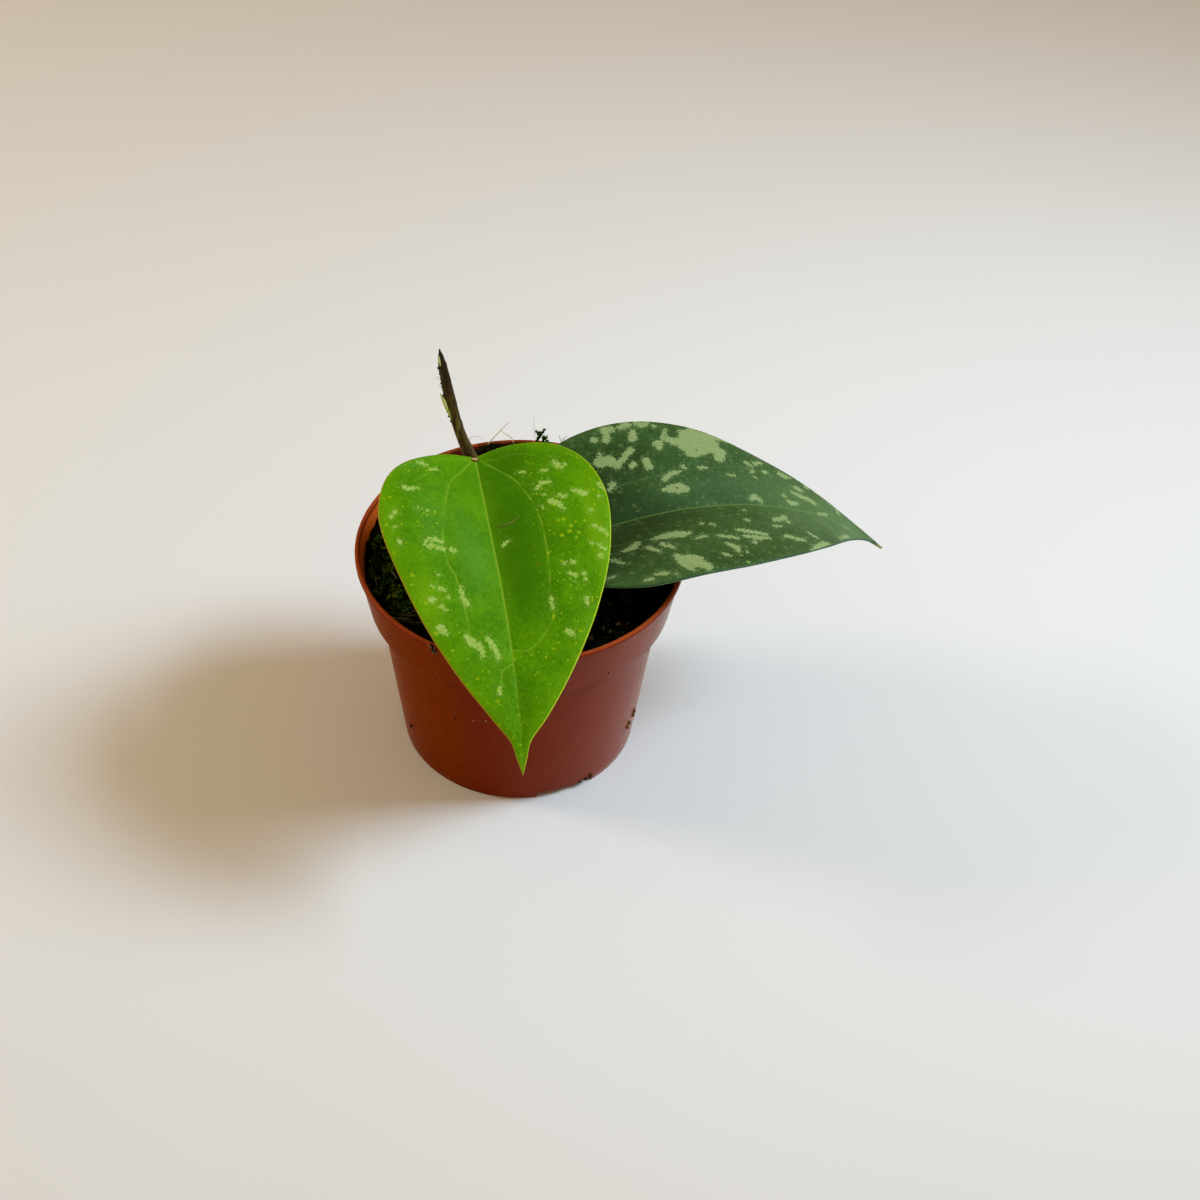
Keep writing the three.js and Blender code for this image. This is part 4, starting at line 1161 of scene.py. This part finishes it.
def fibre(points, radius, sides=6, rings=5):
    """A thin strand through some points, finer at both ends."""
    count = len(points)
    swell = [0.45 if k in (0, count - 1) else 1 for k in range(count)]
    stops = [(*point, radius * s, radius * s) for point, s in zip(points, swell)]
    heading = np.asarray(points[-1], float) - np.asarray(points[0], float)
    across = (1, 0, 0) if abs(heading[0]) < 0.7 * np.linalg.norm(heading) else (0, 0, 1)
    return tube(stops, across, sides, rings)


def direction(turn, rise):
    """A heading of length 1, by its turn about the Z axis and its rise."""
    return (*polar(math.cos(rise), turn), math.sin(rise))


def leaflet(base, heading, length, width):
    """A small pointed leaf of moss: a spindle that bends down at its end."""
    heading = np.asarray(heading, float)
    drop = np.array([0, 0, -0.12 * length])
    stops = [(*base, 0.3 * width, 0.2 * width), (*(base + 0.5 * length * heading), width, 0.35 * width),
             (*(base + length * heading + drop), 0.1 * width, 0.1 * width)]
    across = (1, 0, 0) if abs(heading[0]) < 0.7 else (0, 1, 0)
    return tube(stops, across, 5, 3)


def tuft(base, size, count, chance):
    """A cushion of leaflets that spread up and out from one place."""
    parts = []
    for _ in range(count):
        heading = direction(chance.uniform(0, TURN), chance.uniform(0.15, 1.25))
        shift = np.array([chance.gauss(0, 0.35), chance.gauss(0, 0.35), chance.uniform(-0.2, 0.2)]) * size
        parts.append(leaflet(base + shift, heading, size * chance.uniform(0.6, 1.3), 0.17 * size))
    return parts


def moss_look():
    look = Material("moss_green", 0.8, Specular_IOR_Level=0.1)
    shade = look.stored("shade")
    look.tone = look.mix(look.step(shade, 0.0, 0.75), srgb(28, 62, 6), srgb(92, 140, 16))
    look.paint(look.step(shade, 0.8, 0.97), 1, (196, 190, 34))
    look.paint(look.noise(800, 3), 0.4, (16, 30, 3))
    look.bump(look.noise(1800, 2), 0.05)
    return look.done()


def make_moss(material):
    """Low moss on the left of the soil and along its rear edge."""
    chance = random.Random(MOSS_SEED)
    bits = Bits()
    for _ in range(MOSS_TUFTS):
        x, y = chance.uniform(*MOSS_WIDTH), chance.uniform(*MOSS_DEPTH)
        dense = 0.35 + 0.65 * (math.sin(0.6 * x + 0.9 * y) > 0)
        if math.hypot(x, y) > MOSS_REACH or chance.random() > dense:
            continue
        made = tuft(on_soil(x, y, 0.3), chance.uniform(1.1, 2.2), 8, chance)
        shade = chance.random() ** 1.3 * 0.85
        for part in made:
            bits.add(part, min(1, max(0, shade + chance.uniform(-0.15, 0.2))))
    for x, y in MOSS_TIPS:
        for part in tuft(on_soil(x, y, 0.6), 1.2, 10, chance):
            bits.add(part, chance.uniform(0.85, 1))
    for _ in range(REAR_TUFTS):
        turn = math.radians(chance.uniform(*REAR_MOSS_TURNS))
        reach = chance.uniform(*REAR_MOSS_REACHES)
        height = REAR_MOSS_HEIGHT + chance.uniform(-0.4, 0.4)
        for part in tuft((*polar(reach, turn), height), 0.9, 5, chance):
            bits.add(part, chance.uniform(0.1, 0.85))
    return place(bits.piece("moss_bed", material), "potting_mix")


def make_sprigs(material):
    """Two moss shoots that stand up at the rear rim."""
    chance = random.Random(SPRIG_SEED)
    bits = Bits()
    for stalk in SPRIGS:
        bits.add(fibre(stalk, 0.5, 6, 6), 0.2)
        for step in np.linspace(0.5, 1, 7):
            base = catmull_rom(stalk, step)
            for _ in range(3):
                heading = direction(chance.uniform(0, TURN), chance.uniform(0.2, 1.1))
                bits.add(leaflet(base, heading, chance.uniform(1, 1.8), 0.45), chance.uniform(0, 0.5))
    return place(bits.piece("moss_sprigs", material), "potting_mix")


def straw_look():
    look = Material("dry_fibre", 0.6, Specular_IOR_Level=0.3, Transmission_Weight=0.6)
    shade = look.stored("shade")
    look.tone = look.mix(look.step(shade, 0.0, 0.5), srgb(48, 64, 32), srgb(128, 130, 66))
    look.paint(look.step(shade, 0.55, 0.9), 1, (250, 240, 184))
    look.paint(look.noise(500, 3), 0.15, (150, 130, 76))
    look.bump(look.noise(1500, 2, stretch=(1, 1, 0.2)), 0.03)
    return look.done()


def make_fibres(material):
    """Dry root fibres: some stand up at the rear rim, the others lie on the soil."""
    chance = random.Random(FIBRE_SEED)
    bits = Bits()
    for points, radius, shade in FIBRES:
        bits.add(fibre(points, radius), shade)
    for k in range(LYING_FIBRES):
        x, y = LYING_FROM[0] + chance.uniform(-2, 3), LYING_FROM[1] - k * LYING_STEP
        span, bend = chance.uniform(6, 11), chance.uniform(-1, 1)
        points = []
        for s in (0, 0.35, 0.7, 1):
            px, _, pz = on_soil(x + span * s, y, 0.7)
            points.append((px, y - 0.9 * s + bend * s * (1 - s), pz))
        bits.add(fibre(points, chance.uniform(0.1, 0.26)), chance.uniform(0.1, 0.5))
    for _ in range(SOIL_FIBRES):
        turn, reach = chance.uniform(0, TURN), SOIL_FIBRE_REACH * chance.random() ** 0.5
        x, y = polar(reach, turn)
        way, span = chance.uniform(0, TURN), chance.uniform(1.5, 5)
        points = []
        for s in (0, 0.4, 0.8, 1.2):
            dx, dy = polar(span * s, way + 0.5 * s)
            points.append(on_soil(x + dx, y + dy, 0.5 + 0.3 * math.sin(3 * s)))
        bits.add(fibre(points, chance.uniform(0.07, 0.16)), chance.uniform(0, 0.6))
    return place(bits.piece("root_fibres", material), "dried_bark")


def debris_look():
    look = Material("loose_bits", 0.8, Specular_IOR_Level=0.2)
    shade = look.stored("shade")
    look.tone = look.mix(look.step(shade, 0.0, 0.3), srgb(26, 18, 10), srgb(70, 40, 20))
    look.paint(look.step(shade, 0.3, 0.5), 1, (66, 66, 20))
    look.paint(look.step(shade, 0.5, 0.7), 1, (170, 84, 36))
    look.paint(look.step(shade, 0.75, 0.95), 1, (206, 180, 150))
    look.paint(look.noise(900, 3), 0.4, (40, 26, 14))
    look.bump(look.noise(1500, 3), 0.1)
    return look.done()


def wall_spot(angle, height, lift):
    """A point on the pot's outside."""
    radius = body_radius(height) if height < COLLAR_FOOT else collar_radius(height)
    return (*polar(min(radius, RIM_RADIUS) + lift, math.radians(angle)), height)


def make_specks(material):
    """Grains that cling to the pot's wall, coarse bits on the soil and a twist on the lip."""
    chance = random.Random(SPECK_SEED)
    bits = Bits()
    for angle, height, size, shade in WALL_SPECKS:
        bits.add(lump(wall_spot(angle, height, 0.1), size, chance), shade)
    for _ in range(DUST_GRAINS):
        spot = wall_spot(chance.uniform(*DUST_TURNS), chance.uniform(*DUST_HEIGHTS), 0.02)
        bits.add(lump(spot, chance.uniform(0.06, 0.14), chance), chance.choice(DUST_SHADES))
    for x, y, size, shade in SOIL_BITS:
        bits.add(lump(on_soil(x, y, 0.7), size, chance), shade)
    for points, radius, shade in LIP_TWIST:
        bits.add(fibre(points, radius), shade)
    for x, y, z, size in BARK_BITS:
        bits.add(lump((x, y, z), size, chance), 0.02)
    return place(bits.piece("loose_specks", material), "potting_mix")


def tissue_look():
    """Pale green tissue where the bark is torn."""
    look = Material("torn_tissue", 0.6, Specular_IOR_Level=0.25)
    strands = look.noise(1300, 3, stretch=(1, 1, 0.12))
    look.tone = look.mix(look.step(strands, 0.35, 0.65), srgb(166, 192, 60), srgb(240, 244, 168))
    look.bump(strands, 0.1)
    return look.done()


def make_tissue(material):
    parts = [tube(points, (0, 1, 0), 12, 8) for points in TISSUE]
    tissue = make_mesh("torn_tissue", *join(parts), material)
    return place(tissue, "lime_blade")


def ring_of(centre, width, depth, thick, sides=40, columns=12):
    """Vertices and faces of an oval ring that lies level."""
    turn, around = full_turn(sides), full_turn(columns)
    reach = thick * np.cos(around)
    x = (width + reach[None]) * np.cos(turn)[:, None]
    y = (depth + reach[None]) * np.sin(turn)[:, None]
    z = thick * np.sin(around)[None] + 0.08 * np.sin(5 * turn)[:, None]
    vertices = np.stack([x, y, z], -1).reshape(-1, 3) + np.asarray(centre)
    faces = grid_faces(sides + 1, columns, closed=True)
    return vertices, [[i % (sides * columns) for i in face] for face in faces]


def scar_look():
    look = Material("stalk_scar", 0.6, Specular_IOR_Level=0.25)
    grain = look.noise(900, 3)
    look.tone = look.mix(look.stored("shade"), srgb(78, 48, 24), srgb(226, 196, 130))
    look.paint(grain, 0.5, (120, 80, 46))
    look.bump(grain, 0.1)
    return look.done()


def make_scars(material):
    """The corky ring where the young leaf sits on its stalk, and a scratch across the leaf."""
    bits = Bits()
    bits.add(ring_of(SCAR, 1.3, 0.75, 0.2), 0.1)
    x, y, z = SCAR
    plug = [(x, y, z - 0.3, 1.3, 0.8), (x, y, z + 0.1, 1.1, 0.6), (x, y, z + 0.2, 0.2, 0.1)]
    bits.add(tube(plug, (0, 1, 0)), 0.9)
    scratch = [blade_point(YOUNG, along / YOUNG["length"], out, SCRATCH_LIFT) for along, out in SCRATCH]
    bits.add(fibre(scratch, 0.13), 0.4)
    return place(bits.piece("stalk_scar", material), "dried_bark")


# Floor, light and camera

def stage_floor():
    look = Material("studio_floor", 0.9, Specular_IOR_Level=0.1)
    look.tone = look.mix(look.noise(3, 2), (0.8, 0.8, 0.8, 1), (0.82, 0.82, 0.82, 1))
    corners = [(x * FLOOR_REACH, y * FLOOR_REACH, 0) for x, y in ((-1, -1), (1, -1), (1, 1), (-1, 1))]
    floor = make_mesh("studio_floor", corners, [(0, 1, 2, 3)], look.done())


def area_light(name, direction, distance, size, energy, colour, spread):
    lamp = bpy.data.lights.new(name, "AREA")
    lamp.shape = "SQUARE"
    lamp.size = size
    lamp.energy = energy
    lamp.color = colour
    lamp.spread = math.radians(spread)
    made = bpy.data.objects.new(name, lamp)
    bpy.context.scene.collection.objects.link(made)
    toward = Vector(direction).normalized()
    made.location = toward * distance + Vector(LIGHT_AIM)
    made.rotation_euler = toward.to_track_quat("Z", "Y").to_euler()


def set_light():
    for light in LIGHTS:
        area_light(*light)
    world = bpy.data.worlds.new("room")
    world.use_nodes = True
    world.node_tree.nodes["Background"].inputs["Color"].default_value = ROOM_COLOUR
    bpy.context.scene.world = world
    bpy.context.scene.view_settings.view_transform = "Standard"


def set_camera():
    down, roll = math.radians(LOOK_DOWN), math.radians(ROLL)
    ahead = Vector((0, math.cos(down), -math.sin(down)))
    level = Vector((1, 0, 0))
    above = level.cross(ahead)
    right = math.cos(roll) * level + math.sin(roll) * above
    up = math.cos(roll) * above - math.sin(roll) * level
    data = bpy.data.cameras.new("camera")
    data.lens = LENS
    data.sensor_width = SENSOR
    data.clip_start = 0.01
    camera = bpy.data.objects.new("camera", data)
    turn = Matrix((right, up, -ahead)).transposed().to_4x4()
    camera.matrix_world = Matrix.Translation(Vector(EYE) * MM) @ turn
    bpy.context.scene.collection.objects.link(camera)
    bpy.context.scene.camera = camera


make_pot(satin_plastic())
make_soil(dark_mix())
make_crumbs(crumb_mix())
make_leaf("young_blade", YOUNG, "leaf_young", "lime_blade", leaf_look("lime_blade", YOUNG_COLOURS))
make_leaf("mature_blade", MATURE, "leaf_mature", "dark_blade", leaf_look("dark_blade", MATURE_COLOURS))
make_stem(bark_look())
make_tissue(tissue_look())
make_scars(scar_look())
moss_material = moss_look()
make_moss(moss_material)
make_sprigs(moss_material)
make_fibres(straw_look())
make_specks(debris_look())
stage_floor()
set_light()
set_camera()
